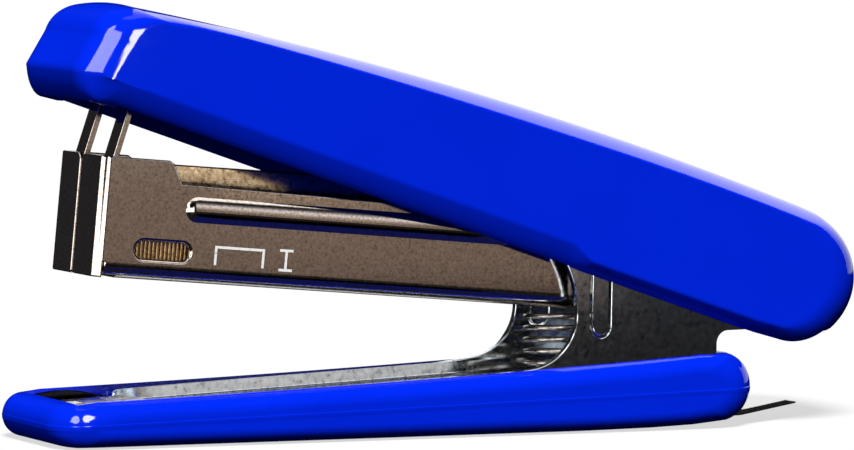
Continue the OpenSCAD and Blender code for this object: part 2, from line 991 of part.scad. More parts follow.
module handle_hollow() {
    half = handle_w / 2 - cover_t;
    inner_r = handle_rear_r - rear_t;
    front = -nose_x + nose_lean + nose_t;
    slope_end = front + nose_slope;
    across(-half, half)
    polygon(concat(
        [[front, -cut], [front, nose_top_z - nose_r - 1], [slope_end, roof_z(slope_end)]],
        [for (x = [-86 : 10 : -6]) [x, roof_z(x)]],
        arc(0, 0, inner_r, inner_r - rear_roof, 80, 0, 8),
        [[inner_r, -cut]]
    ));
}

module handle_cover() {
    lug_y = spine_w / 2 - lug_reach;
    color(cover_blue)
    in_handle() {
        difference() {
            handle_shape();
            handle_hollow();
        }
        for (x = lug_xs)
        both_sides()
        translate([x - lug_len / 2, lug_y, spine_edge - lug_play - lug_h])
        cube([lug_len, handle_w / 2 - cover_t + 4 * sink - lug_y, lug_h]);
    }
}

function spine_z(x) = roof_z(x) - spine_gap;

// Side view of the frame's roof, spine_t thick
module spine_roof() {
    xs = [for (x = [-80 : 10 : 0]) x];
    rear_z = spine_z(0) - spine_rear_fall;
    polygon(concat(
        [[spine_front, spine_z(spine_front)]],
        [for (x = xs) [x, spine_z(x)]],
        [[spine_rear, rear_z], [spine_rear, rear_z - spine_t]],
        [for (i = [len(xs) - 1 : -1 : 0]) [xs[i], spine_z(xs[i]) - spine_t]],
        [[spine_front, spine_z(spine_front) - spine_t]]
    ));
}

// Side view of the frame's walls, with the boss around the pin
module spine_side() {
    polygon(concat(
        [[spine_front, spine_z(spine_front) - sink]],
        [for (x = [-80 : 10 : 0]) [x, spine_z(x) - sink]],
        [[spine_rear - lug_reach, spine_z(0) - spine_rear_fall - spine_t / 2]],
        arc(0, 0, spine_boss_r, spine_boss_r, 30, -110, 10),
        [[spine_edge_rear, spine_edge], [spine_front, spine_edge]]
    ));
}

module handle_frame() {
    half = spine_w / 2;
    color(bright_steel)
    in_handle()
    difference() {
        union() {
            across(-half, half)
            spine_roof();
            both_sides()
            across(half - spine_wall, half)
            spine_side();
            bar(spine_front, spine_front + spine_t, tab_w, tab_low, spine_z(spine_front) - sink);
        }
        cross_cylinder(pin_r + pin_fit, -spine_w, spine_w);
        driver_rivet_holes();
    }
}

module driver_rivet_holes() {
    both_sides()
    translate([driver_x - 1, driver_rivet_y, driver_rivet_z])
    rotate([0, 90, 0])
    cylinder(r = driver_rivet_r, h = driver_t + spine_t + 2);
}

// Side view of the driver, cranked so that its lower part runs along the front of the channel
module driver_side() {
    polygon([
        [driver_x, driver_top],
        [driver_x + driver_t, driver_top],
        [driver_x + driver_t, driver_bend],
        [driver_x + driver_t + driver_tip_shift, driver_tip],
        [driver_x + driver_tip_shift, driver_tip],
        [driver_x, driver_bend]
    ]);
}

module driver_blade() {
    window_w = driver_w - 2 * driver_leg_w;
    color(bright_steel)
    in_handle()
    difference() {
        across(-driver_w / 2, driver_w / 2)
        driver_side();
        bar(driver_x - 1, driver_x + driver_t + 1, window_w, driver_window[1], driver_window[0]);
        driver_rivet_holes();
    }
}

module driver_rivets() {
    grip = spine_front + spine_t - driver_x;
    color(bright_steel)
    in_handle()
    both_sides()
    translate([driver_x, driver_rivet_y, driver_rivet_z])
    rotate([0, 90, 0]) {
        translate([0, 0, -driver_head[1]])
        cylinder(r = driver_head[0], h = driver_head[1]);
        cylinder(r = driver_rivet_r, h = grip);
        translate([0, 0, grip])
        cylinder(r = driver_head[0], h = driver_head[1]);
    }
}

base_cover();
base_frame();
anvil_plate();
anvil_rivets();
remover_blade();
base_rivets();
lift_spring();
spring_seat();
pivot_pin();
pivot_washer();
magazine_channel();
staple_rail();
rail_rivets();
staple_strip();
pusher();
pusher_spring();
pusher_rod();
handle_spring();
handle_cover();
handle_frame();
driver_blade();
driver_rivets();
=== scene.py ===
import logging
import math
from dataclasses import dataclass, field
from enum import Enum
from typing import Callable, Sequence

import bmesh
import bpy
from mathutils import Matrix, Vector
from mathutils.geometry import tessellate_polygon


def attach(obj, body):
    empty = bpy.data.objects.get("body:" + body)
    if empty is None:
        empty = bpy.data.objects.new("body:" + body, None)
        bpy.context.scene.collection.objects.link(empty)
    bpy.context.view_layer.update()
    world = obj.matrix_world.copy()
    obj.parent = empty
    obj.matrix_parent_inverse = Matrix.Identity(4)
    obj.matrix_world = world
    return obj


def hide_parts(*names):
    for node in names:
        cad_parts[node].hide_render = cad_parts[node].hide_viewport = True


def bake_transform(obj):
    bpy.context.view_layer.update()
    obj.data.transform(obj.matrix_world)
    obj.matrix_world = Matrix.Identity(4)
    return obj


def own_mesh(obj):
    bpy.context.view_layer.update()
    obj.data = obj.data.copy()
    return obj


# Mini stapler with a staple remover tongue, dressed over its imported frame.
# Sizes in the classes are millimetres, front towards -X and near side towards -Y, as in the part's
# source; a mesh becomes metres when it becomes an object.

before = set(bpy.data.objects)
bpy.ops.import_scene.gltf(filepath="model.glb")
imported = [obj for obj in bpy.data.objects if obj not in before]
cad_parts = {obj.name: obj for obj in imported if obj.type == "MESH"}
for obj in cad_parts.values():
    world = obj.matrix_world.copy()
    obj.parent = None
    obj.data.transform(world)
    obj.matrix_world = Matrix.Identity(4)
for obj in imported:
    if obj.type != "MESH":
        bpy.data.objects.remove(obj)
log = logging.getLogger("stapler")

MM = 0.001
Point2 = tuple[float, float]
Point3 = tuple[float, float, float]
Point4 = tuple[float, float, float, float]
Colour = tuple[float, float, float]
Stop = tuple[float, Colour]
Rings = Sequence[Sequence[Sequence[float]]]
Socket = bpy.types.NodeSocket
Receivers = bpy.types.Collection | None


class Body(Enum):
    """Bodies that the new pieces ride on."""

    BASE = "base"
    MAGAZINE = "magazine"
    HANDLE = "handle"


class Slot(Enum):
    """Material slots of the record."""

    BLUE_COVER = "blue_cover"
    NICKEL_SHEET = "nickel_sheet"
    DARK_STEEL = "dark_steel"
    RIVET_STEEL = "rivet_steel"
    SPRING_WIRE = "spring_wire"
    STAPLE_WIRE = "staple_wire"


class Gloss(Enum):
    """Kinds of glossy surface, which the studio's cards are set up for."""

    HANDLE = "handle_plastic"
    BASE = "base_plastic"
    METAL = "metal"
    TRAY = "tray_metal"
    BACK_LIT = "base_and_metal"
    ANY = "any_piece"


class Side(Enum):
    """Near and far side of the stapler, as the sign of Y."""

    NEAR = -1
    FAR = 1


@dataclass(frozen=True)
class Pitch:
    """A drawing frame: where its origin lies, and how far its front is pitched up at rest."""

    x: float = 0.0
    z: float = 0.0
    angle: float = 0.0

    def put(self, point: Sequence[float]) -> Vector:
        """Place a point of the drawing frame in the stapler.

        Args:
            point: x, y and z in the drawing frame.

        Returns:
            The same point in the stapler's own frame, in millimetres.
        """
        turn = math.radians(self.angle)
        x, y, z = point
        return Vector((
            self.x + x * math.cos(turn) + z * math.sin(turn),
            y,
            self.z - x * math.sin(turn) + z * math.cos(turn),
        ))


# Axis of the pivot pin, as x and z, and the drawing frames of the sub-assemblies.
PIVOT = (44.1, 17.6)
LEVEL = Pitch()
IN_MAGAZINE = Pitch(*PIVOT, 4.6)
IN_HANDLE = Pitch(*PIVOT, 18.2)
ON_FLOOR = Pitch(0.0, 5.28, -2.7)

# Rounded end of a wire: how far it stands out and how thick it is there, in radii of the wire.
WIRE_END = [(0.22, 0.8), (0.35, 0.45)]
# Edges with a smaller radius than this get fewer steps, in millimetres.
FINE_EDGE = 0.2
# The least share of a mitre, which keeps sharp corners from running away.
MITRE_LIMIT = 0.35
# Points closer to a cut than this lie on it, in millimetres.
CUT_TOLERANCE = 1e-5
# Points closer than this become one after carving, in metres.
WELD = 1e-7
# The part of a noise that most of its values lie in.
NOISE_MIDDLE = (0.3, 0.7)


def add_object(name: str, data: bpy.types.ID) -> bpy.types.Object:
    """Put new data into the scene as an object.

    Args:
        name: name of the object.
        data: its mesh, light or camera.

    Returns:
        The object.
    """
    made = bpy.data.objects.new(name, data)
    bpy.context.scene.collection.objects.link(made)
    return made


def add_node(tree: bpy.types.NodeTree, kind: str, **values: object) -> bpy.types.Node:
    """Add a node to a tree and set its sockets.

    Args:
        tree: the tree.
        kind: kind of node, without the prefix that all kinds share.
        **values: names of sockets, with _ for a space, and their values.

    Returns:
        The node.
    """
    made = tree.nodes.new("ShaderNode" + kind)
    for name, value in values.items():
        made.inputs[name.replace("_", " ")].default_value = value
    return made


def set_stops(node: bpy.types.Node, stops: Sequence[Stop]) -> None:
    """Set the colours of a colour ramp, each at its place from 0 to 1.

    Args:
        node: the colour ramp.
        stops: places with their colours, in order.
    """
    points = node.color_ramp.elements
    while len(points) < len(stops):
        points.new(0.5)
    for point, (at, colour) in zip(points, stops):
        point.position = at
        point.color = (*colour, 1.0)


def bare_material(name: str) -> bpy.types.Material:
    """A material with nothing in it but its output.

    Args:
        name: name of the material.

    Returns:
        The material.
    """
    material = bpy.data.materials.new(name)
    material.use_nodes = True
    nodes = material.node_tree.nodes
    nodes.remove(nodes["Principled BSDF"])
    return material


def arc(centre: Point2, radii: Point2, start: float, end: float, steps: int) -> list[Point2]:
    """Points on an arc of an ellipse, from one angle to another in degrees."""
    angles = [math.radians(start + (end - start) * i / steps) for i in range(steps + 1)]
    return [(centre[0] + radii[0] * math.cos(a), centre[1] + radii[1] * math.sin(a)) for a in angles]


def span(start: float, end: float, steps: int) -> list[float]:
    """Evenly spaced values from start to end, both included."""
    return [start + (end - start) * i / steps for i in range(steps + 1)]


def fillet(radius: float, depth: float) -> float:
    """How far a fillet stands back at a depth from the side face."""
    return 0.0 if depth >= radius else radius - math.sqrt(radius ** 2 - (radius - depth) ** 2)


def ramp(value: float, start: float, end: float) -> float:
    """A share from 0 at start to 1 at end."""
    return min(1.0, max(0.0, (value - start) / (end - start)))


def ease(share: float) -> float:
    """A share that starts and stops gently."""
    return share * share * (3 - 2 * share)


def rounded(corners: Sequence[Point3], steps: int = 8) -> list[Point2]:
    """A closed outline whose corners are rounded.

    Args:
        corners: x, z and rounding radius of each corner, in order.
        steps: steps in each rounding.

    Returns:
        Points of the rounded outline.
    """
    points: list[Point2] = []
    count = len(corners)
    for i, (x, z, radius) in enumerate(corners):
        here = Vector((x, z))
        before = (Vector(corners[i - 1][:2]) - here).normalized()
        after = (Vector(corners[(i + 1) % count][:2]) - here).normalized()
        if radius <= 0:
            points.append((x, z))
            continue
        half = before.angle(after) / 2
        reach = radius / math.tan(half)
        for s in span(0.0, 1.0, steps):
            a, b = here + before * reach * (1 - s), here + after * reach * s
            points.append(tuple(a.lerp(b, s)))
    return points


def round_over(radius: float) -> list[Point2]:
    """Section of a rounded edge from a flat face: inset from the outline and depth below the face."""
    turns = span(0.0, math.pi / 2, 3 if radius < FINE_EDGE else 8)
    return [(radius * (1 - math.sin(a)), radius * (1 - math.cos(a))) for a in turns]


def circle(centre: Point2, radius: float, steps: int = 36) -> list[Point2]:
    """A closed round outline."""
    return arc(centre, (radius, radius), 0, 360, steps)[:-1]


def obround(start: float, end: float, height: float, middle: float, steps: int = 16) -> list[Point2]:
    """A closed outline with round ends.

    Args:
        start: one end.
        end: the other end.
        height: twice the radius of the ends.
        middle: height of the middle line.
        steps: steps in each end.

    Returns:
        Points of the outline.
    """
    radius = height / 2
    return (
        arc((end - radius, middle), (radius, radius), -90, 90, steps)
        + arc((start + radius, middle), (radius, radius), 90, 270, steps)
    )


def sweep(start: float, end: float, steps: int) -> list[Point2]:
    """Cosines and sines from one angle to another, in degrees."""
    return arc((0, 0), (1, 1), start, end, steps)


def box(x: Point2, z: Point2, radii: Sequence[float], steps: int = 8) -> list[Point2]:
    """A closed four-sided outline, with a rounding for each corner from the first lower one on."""
    places = [(x[0], z[0]), (x[1], z[0]), (x[1], z[1]), (x[0], z[1])]
    return rounded([(*place, radius) for place, radius in zip(places, radii)], steps)


class Solid:
    """A closed mesh that is being built, in millimetres in its own drawing frame."""

    def __init__(self) -> None:
        """Start with nothing."""
        self.mesh = bmesh.new()

    def lay(self, rings: Rings) -> list[list[bmesh.types.BMVert]]:
        """Add rings of points as rows of vertices."""
        return [[self.mesh.verts.new(p) for p in ring] for ring in rings]

    def stitch(self, rows: Sequence[Sequence[bmesh.types.BMVert]]) -> None:
        """Join each closed row of vertices to the next by four-sided faces.

        Args:
            rows: rows of equal length.
        """
        for low, high in zip(rows, rows[1:]):
            for i in range(len(low)):
                j = (i + 1) % len(low)
                self.mesh.faces.new((low[i], low[j], high[j], high[i]))

    @classmethod
    def loft(cls, rings: Rings) -> "Solid":
        """Join rings of equal length into one closed skin.

        Args:
            rings: closed rings of points; the first and the last are capped.

        Returns:
            The solid.
        """
        made = cls()
        rows = made.lay(rings)
        made.stitch(rows)
        made.mesh.faces.new(rows[0])
        made.mesh.faces.new(list(reversed(rows[-1])))
        return made

    @classmethod
    def band(cls, rings: Rings) -> "Solid":
        """Join closed rings of equal length into one closed hoop, the last ring to the first.

        Args:
            rings: closed rings of points.

        Returns:
            The solid.
        """
        made = cls()
        rows = made.lay(rings)
        made.stitch(rows + rows[:1])
        return made

    @classmethod
    def plate(cls, outline: Sequence[Point2], holes: Sequence[Sequence[Point2]], thickness: float,
              edge: float = 0.08, hole_edge: float | None = None) -> "Solid":
        """A flat plate with holes, all its edges rounded over.

        Args:
            outline: closed outline of the plate.
            holes: closed outlines of the holes.
            thickness: thickness of the plate, along the third axis from 0.
            edge: radius of the rounded edges.
            hole_edge: radius of the holes' edges on the first face, if it is another.

        Returns:
            The solid, drawn in the plane of the outline; its flat faces end in seams.
        """
        made = cls()
        back = [(inset, thickness - depth) for inset, depth in reversed(round_over(edge))]
        contours = [cls.turned(outline, True)] + [cls.turned(hole, False) for hole in holes]
        faces: list[list[bmesh.types.BMVert]] = [[], []]
        loops: list[list[list[Vector]]] = [[], []]
        for contour in contours:
            inward = cls.inward(contour)
            front = round_over(edge if contour is contours[0] else hole_edge or edge)
            rings = [
                [Vector((*(p + n * inset), depth)) for p, n in zip(contour, inward)]
                for inset, depth in front + back
            ]
            rows = made.lay(rings)
            for k in (0, -1):
                loops[k].append([p.xy.to_3d() for p in rings[k]])
                faces[k].extend(rows[k])
            made.stitch(rows)
        for verts, loop in zip(faces, loops):
            corners = [t for t in tessellate_polygon(loop) if len(set(t)) == 3]
            flat = {made.mesh.faces.new([verts[k] for k in t]) for t in corners}
            rim = {e for f in flat for e in f.edges if not all(g in flat for g in e.link_faces)}
            for border in rim:
                border.seam = True
        return made

    @staticmethod
    def turned(points: Sequence[Point2], anticlockwise: bool) -> list[Vector]:
        """The same closed outline, turning the asked way.

        Args:
            points: the outline.
            anticlockwise: the way that it is to turn.

        Returns:
            Its points.
        """
        flat = [Vector(p) for p in points]
        area = sum(a.x * b.y - b.x * a.y for a, b in zip(flat, flat[1:] + flat[:1]))
        return flat if (area > 0) == anticlockwise else flat[::-1]

    @staticmethod
    def inward(contour: Sequence[Vector]) -> list[Vector]:
        """Mitred steps of length one into the material, left of the way the contour turns.

        Args:
            contour: points of the closed contour.

        Returns:
            One step for each point.
        """
        found = []
        count = len(contour)
        for i in range(count):
            before = (contour[i] - contour[i - 1]).normalized()
            after = (contour[(i + 1) % count] - contour[i]).normalized()
            left_before, left_after = Vector((-before.y, before.x)), Vector((-after.y, after.x))
            mitre = left_before + left_after
            found.append(mitre / max(MITRE_LIMIT, mitre.dot(left_before)))
        return found

    @classmethod
    def tube(cls, path: Sequence[Sequence[float]], radius: float, sides: int = 12) -> "Solid":
        """A round wire along a path, its ends rounded over.

        Args:
            path: points on the wire's middle line.
            radius: radius of the wire.
            sides: points around the wire.

        Returns:
            The solid.
        """
        line = [Vector(p) for p in path]
        last = len(line) - 1
        ahead = [(line[min(i + 1, last)] - line[max(i - 1, 0)]).normalized() for i in range(last + 1)]
        across = ahead[0].orthogonal().normalized()
        rings: list[list[Vector]] = []
        for i, (point, along) in enumerate(zip(line, ahead)):
            across = (across - along * across.dot(along)).normalized()
            other = along.cross(across)
            caps = [(0.0, 1.0)]
            if i == 0:
                caps = [(-push, share) for push, share in reversed(WIRE_END)] + caps
            if i == last:
                caps += WIRE_END
            for push, share in caps:
                turn = [2 * math.pi * k / sides for k in range(sides)]
                middle = point + along * radius * push
                rings.append([
                    middle + (across * math.cos(a) + other * math.sin(a)) * radius * share for a in turn
                ])
        return cls.loft(rings)

    @classmethod
    def lathe(cls, profile: Sequence[Point2], steps: int = 40) -> "Solid":
        """A turned shape about the third axis.

        Args:
            profile: radius and height of each ring, from end to end.
            steps: points in each ring.

        Returns:
            The solid.
        """
        return cls.loft([
            [(r * math.cos(a), r * math.sin(a), h) for a in span(0, 2 * math.pi, steps)[:-1]]
            for r, h in profile
        ])

    def split(self, axis: int, values: Sequence[float]) -> "Solid":
        """Cut all faces along straight lines, so that the solid can be bent there.

        Args:
            axis: 0, 1 or 2, the axis that the cuts stand across.
            values: where the cuts lie on that axis.

        Returns:
            This solid.
        """
        normal = Vector((0, 0, 0))
        normal[axis] = 1
        for value in values:
            geometry = [*self.mesh.verts, *self.mesh.edges, *self.mesh.faces]
            bmesh.ops.bisect_plane(
                self.mesh, geom=geometry, dist=CUT_TOLERANCE, plane_co=normal * value, plane_no=normal,
            )
        return self

    def map(self, place: Callable[[Vector], Sequence[float]]) -> "Solid":
        """Move every point by a rule.

        Args:
            place: gives a point's new place.

        Returns:
            This solid.
        """
        for vert in self.mesh.verts:
            vert.co = Vector(place(vert.co.copy()))
        return self

    def join(self, other: "Solid") -> "Solid":
        """Take in another solid.

        Args:
            other: the other solid, which is used up.

        Returns:
            This solid.
        """
        passing = bpy.data.meshes.new("passing")
        other.mesh.to_mesh(passing)
        self.mesh.from_mesh(passing)
        bpy.data.meshes.remove(passing)
        other.mesh.free()
        return self

    def face_out(self) -> None:
        """Turn each closed skin of the solid so that its faces look outwards."""
        bmesh.ops.recalc_face_normals(self.mesh, faces=self.mesh.faces)
        left = set(self.mesh.faces)
        while left:
            ahead = [left.pop()]
            skin = []
            while ahead:
                face = ahead.pop()
                skin.append(face)
                beside = {other for edge in face.edges for other in edge.link_faces} & left
                left -= beside
                ahead += beside
            volume = sum(f.calc_center_median().dot(f.normal) * f.calc_area() for f in skin)
            if volume < 0:
                bmesh.ops.reverse_faces(self.mesh, faces=skin)

    def make(self, name: str, pitch: Pitch = LEVEL, smooth: float = 18.0) -> bpy.types.Object:
        """Turn the solid into an object of the scene.

        Args:
            name: name of the object.
            pitch: drawing frame that the solid was drawn in.
            smooth: edges that turn by less than this, in degrees, are shaded smooth.

        Returns:
            The object, in metres.
        """
        for vert in self.mesh.verts:
            vert.co = pitch.put(vert.co) * MM
        self.face_out()
        soften(self.mesh, smooth)
        data = bpy.data.meshes.new(name)
        self.mesh.to_mesh(data)
        self.mesh.free()
        return add_object(name, data)


def soften(mesh: bmesh.types.BMesh, degrees: float) -> None:
    """Shade faces smooth, but not across seams or edges that turn by an angle or more.

    Args:
        mesh: the mesh.
        degrees: the angle.
    """
    limit = math.radians(degrees)
    for face in mesh.faces:
        face.smooth = True
    for edge in mesh.edges:
        gentle = len(edge.link_faces) == 2 and edge.calc_face_angle(math.pi) < limit
        edge.smooth = gentle and not edge.seam


def carve(body: bpy.types.Object, cutters: Sequence[bpy.types.Object], smooth: float) -> None:
    """Cut shapes out of an object for good.

    Args:
        body: object that is cut.
        cutters: objects that are cut away and then removed.
        smooth: edges that turn by less than this, in degrees, are shaded smooth.
    """
    for cutter in cutters:
        step = body.modifiers.new("cut", "BOOLEAN")
        step.operation = "DIFFERENCE"
        step.solver = "EXACT"
        step.object = cutter
        bpy.context.view_layer.update()
        cut = body.evaluated_get(bpy.context.evaluated_depsgraph_get())
        carved = bpy.data.meshes.new_from_object(cut)
        body.modifiers.clear()
        old, body.data = body.data, carved
        bpy.data.meshes.remove(old)
        bpy.data.objects.remove(cutter)
    mesh = bmesh.new()
    mesh.from_mesh(body.data)
    bmesh.ops.remove_doubles(mesh, verts=mesh.verts, dist=WELD)
    soften(mesh, smooth)
    mesh.to_mesh(body.data)
    mesh.free()


def ease_edges(body: bpy.types.Object, radius: float, sharp: float = 50.0) -> None:
    """Round the sharp edges of an object.

    Args:
        body: the object.
        radius: radius of the rounding in millimetres.
        sharp: least turn of a sharp edge, in degrees.
    """
    step = body.modifiers.new("eased_edges", "BEVEL")
    step.limit_method = "ANGLE"
    step.angle_limit = math.radians(sharp)
    step.width = radius * MM
    step.segments = 3


def prism(outline: Sequence[Point2], low: float, high: float, pitch: Pitch = LEVEL) -> bpy.types.Object:
    """A side-view outline drawn out across the stapler, as a cutter."""
    rings = [[(x, y, z) for x, z in outline] for y in (low, high)]
    return Solid.loft(rings).make("cutter", pitch)


class Shader:
    """Node tree of one material while it is built."""

    def __init__(self, name: str) -> None:
        """Start from a bare principled surface.

        Args:
            name: name of the material.
        """
        self.material = bpy.data.materials.new(name)
        self.material.use_nodes = True
        self.tree = self.material.node_tree
        self.links = self.tree.links
        self.surface = self.tree.nodes["Principled BSDF"]
        self.place = add_node(self.tree, "TexCoord").outputs["Object"]

    def fix(self, **values: float) -> None:
        """Set sockets of the surface that are the same all over."""
        for name, value in values.items():
            self.surface.inputs[name.replace("_", " ")].default_value = value

    def drive(self, name: str, source: Socket) -> None:
        """Feed one socket of the surface from a texture."""
        self.links.new(source, self.surface.inputs[name])

    def noise(self, grain: float, detail: float = 3.0, stretch: Point3 = (1.0, 1.0, 1.0)) -> Socket:
        """A noise fixed to the piece.

        Args:
            grain: size of its grains in millimetres.
            detail: how many finer octaves it has.
            stretch: how far the grains are drawn out along x, y and z.

        Returns:
            The noise, from 0 to 1.
        """
        mapping = add_node(self.tree, "Mapping", Scale=tuple(1 / (grain * MM * s) for s in stretch))
        texture = add_node(self.tree, "TexNoise", Scale=1.0, Detail=detail)
        self.links.new(self.place, mapping.inputs["Vector"])
        self.links.new(mapping.outputs["Vector"], texture.inputs["Vector"])
        return texture.outputs["Fac"]

    def shades(self, share: Socket, stops: Sequence[Stop]) -> Socket:
        """Colours along a share, from the first stop to the last.

        Args:
            share: a value from 0 to 1.
            stops: places with their colours.

        Returns:
            The colour.
        """
        ramped = add_node(self.tree, "ValToRGB")
        set_stops(ramped, stops)
        self.links.new(share, ramped.inputs["Fac"])
        return ramped.outputs["Color"]

    def between(self, share: Socket, low: float, high: float) -> Socket:
        """A value that runs from low to high along the middle of a noise.

        Args:
            share: the noise.
            low: value at its lower end.
            high: value at its upper end.

        Returns:
            The value.
        """
        start, end = NOISE_MIDDLE
        ranged = add_node(
            self.tree, "MapRange", From_Min=start, From_Max=end, To_Min=low, To_Max=high,
        )
        self.links.new(share, ranged.inputs["Value"])
        return ranged.outputs["Result"]

    def bump(self, heights: Sequence[tuple[Socket, float]]) -> None:
        """Raise the surface by one texture after another.

        Args:
            heights: each texture with its height in millimetres.
        """
        normal = None
        for height, depth in heights:
            raised = add_node(self.tree, "Bump", Strength=1.0, Distance=depth * MM)
            self.links.new(height, raised.inputs["Height"])
            if normal is not None:
                self.links.new(normal, raised.inputs["Normal"])
            normal = raised.outputs["Normal"]
        self.drive("Normal", normal)


@dataclass(frozen=True)
class GlossPlastic:
    """Glossy moulded plastic with a faint orange peel and hairline scuffs."""

    name: str
    colour: Colour
    shade: Colour
    rough: Point2 = (0.055, 0.10)
    specular: float = 0.38
    cloud_grain: float = 14.0
    cloud_stops: Point2 = (0.32, 0.68)
    scuff_grain: float = 1.1
    scuff_stretch: Point3 = (9.0, 1.0, 1.0)
    scuff_height: float = 0.0006
    peel_grain: float = 2.4
    peel_height: float = 0.0030

    def build(self) -> bpy.types.Material:
        """Make the material.

        Returns:
            The material.
        """
        shader = Shader(self.name)
        cloud = shader.noise(self.cloud_grain, 3.0)
        scuff = shader.noise(self.scuff_grain, 4.0, self.scuff_stretch)
        stops = list(zip(self.cloud_stops, (self.shade, self.colour)))
        shader.drive("Base Color", shader.shades(cloud, stops))
        shader.drive("Roughness", shader.between(scuff, *self.rough))
        peel = shader.noise(self.peel_grain, 1.0)
        shader.bump([(peel, self.peel_height), (scuff, self.scuff_height)])
        shader.fix(Specular_IOR_Level=self.specular)
        return shader.material


@dataclass(frozen=True)
class SheetMetal:
    """Plated or bare steel sheet with rolling lines, a mottled plating and small stains."""

    name: str
    bright: Colour
    dull: Colour
    stain: Colour
    rough: Point2 = (0.12, 0.24)
    lines: float = 0.0012
    grain: Point3 = (40.0, 1.0, 1.0)
    spot: float = 0.30
    wave: float = 0.0012
    stops: Point3 = (0.30, 0.42, 0.66)
    roll_grain: float = 0.12
    haze_grain: float = 0.5
    wave_grain: float = 7.0

    def build(self) -> bpy.types.Material:
        """Make the material.

        Returns:
            The material.
        """
        shader = Shader(self.name)
        mottle = shader.noise(self.spot, 5.0)
        rolled = shader.noise(self.roll_grain, 3.0, self.grain)
        shades = list(zip(self.stops, (self.stain, self.dull, self.bright)))
        shader.drive("Base Color", shader.shades(mottle, shades))
        haze = shader.noise(self.haze_grain, 5.0)
        shader.drive("Roughness", shader.between(haze, *self.rough))
        waves = shader.noise(self.wave_grain, 2.0)
        shader.bump([(rolled, self.lines), (waves, self.wave)])
        shader.fix(Metallic=1.0)
        return shader.material


@dataclass(frozen=True)
class PrintInk:
    """Matt white print, a little thin and broken in places."""

    name: str
    colour: Colour
    thin: Colour
    rough: Point2 = (0.62, 0.45)
    patch_grain: float = 0.35
    patch_stops: Point2 = (0.28, 0.42)
    patch_height: float = 0.004

    def build(self) -> bpy.types.Material:
        """Make the material.

        Returns:
            The material.
        """
        shader = Shader(self.name)
        patches = shader.noise(self.patch_grain, 4.0)
        stops = list(zip(self.patch_stops, (self.thin, self.colour)))
        shader.drive("Base Color", shader.shades(patches, stops))
        shader.drive("Roughness", shader.between(patches, *self.rough))
        shader.bump([(patches, self.patch_height)])
        return shader.material


Finish = GlossPlastic | SheetMetal | PrintInk

EVEN = (1.0, 1.0, 1.0)
BLUE = GlossPlastic("gloss_blue_plastic", (0.0005, 0.022, 0.80), (0.0005, 0.020, 0.76))
NICKEL = SheetMetal(
    "nickel_sheet", (0.68, 0.61, 0.55), (0.54, 0.47, 0.41), (0.36, 0.29, 0.23), (0.05, 0.14),
)
ZINC = SheetMetal(
    "zinc_sheet", (0.88, 0.96, 1.0), (0.69, 0.76, 0.82), (0.40, 0.42, 0.46), (0.07, 0.16),
    spot=0.7, wave=0.02,
)
# Inside faces of the magazine: a brighter, warmer copy of the sheet, a painted sheen that stands in for
# warm reflection on the far inner wall.
INSIDE_SHEEN = SheetMetal(
    "inside_sheet_painted_sheen", (1.0, 0.92, 0.76), (0.75, 0.62, 0.44), (0.22, 0.15, 0.09), (0.06, 0.16), spot=0.45,
)
BRIGHT = SheetMetal(
    "bright_steel", (0.74, 0.73, 0.71), (0.64, 0.63, 0.61), (0.50, 0.48, 0.45), (0.10, 0.2),
)
DARK = SheetMetal(
    "dark_steel", (0.30, 0.28, 0.27), (0.22, 0.21, 0.20), (0.13, 0.12, 0.11), (0.22, 0.36),
)
# Near-black sheet for the front of the base: painted shade in the recess around the anvil.
RECESS_SHADE = SheetMetal(
    "painted_recess_shade", (0.05, 0.05, 0.055), (0.035, 0.035, 0.04), (0.015, 0.015, 0.015), (0.08, 0.18),
)
RIVET = SheetMetal(
    "rivet_steel", (0.66, 0.64, 0.61), (0.56, 0.54, 0.51), (0.40, 0.37, 0.33), (0.16, 0.30),
    lines=0.0008, grain=EVEN,
)
WIRE = SheetMetal(
    "spring_wire", (0.58, 0.53, 0.48), (0.46, 0.41, 0.36), (0.30, 0.25, 0.20), (0.14, 0.26),
    lines=0.0006, grain=EVEN,
)
GOLD = SheetMetal(
    "staple_wire", (0.58, 0.38, 0.21), (0.42, 0.26, 0.13), (0.18, 0.10, 0.04), (0.30, 0.48),
)
INK = PrintInk("white_print", (0.96, 0.96, 0.95), (0.62, 0.60, 0.57))


def floor_z(x: float) -> float:
    """Top of the steel tray's floor at x."""
    return ON_FLOOR.z + x * math.tan(math.radians(-ON_FLOOR.angle))


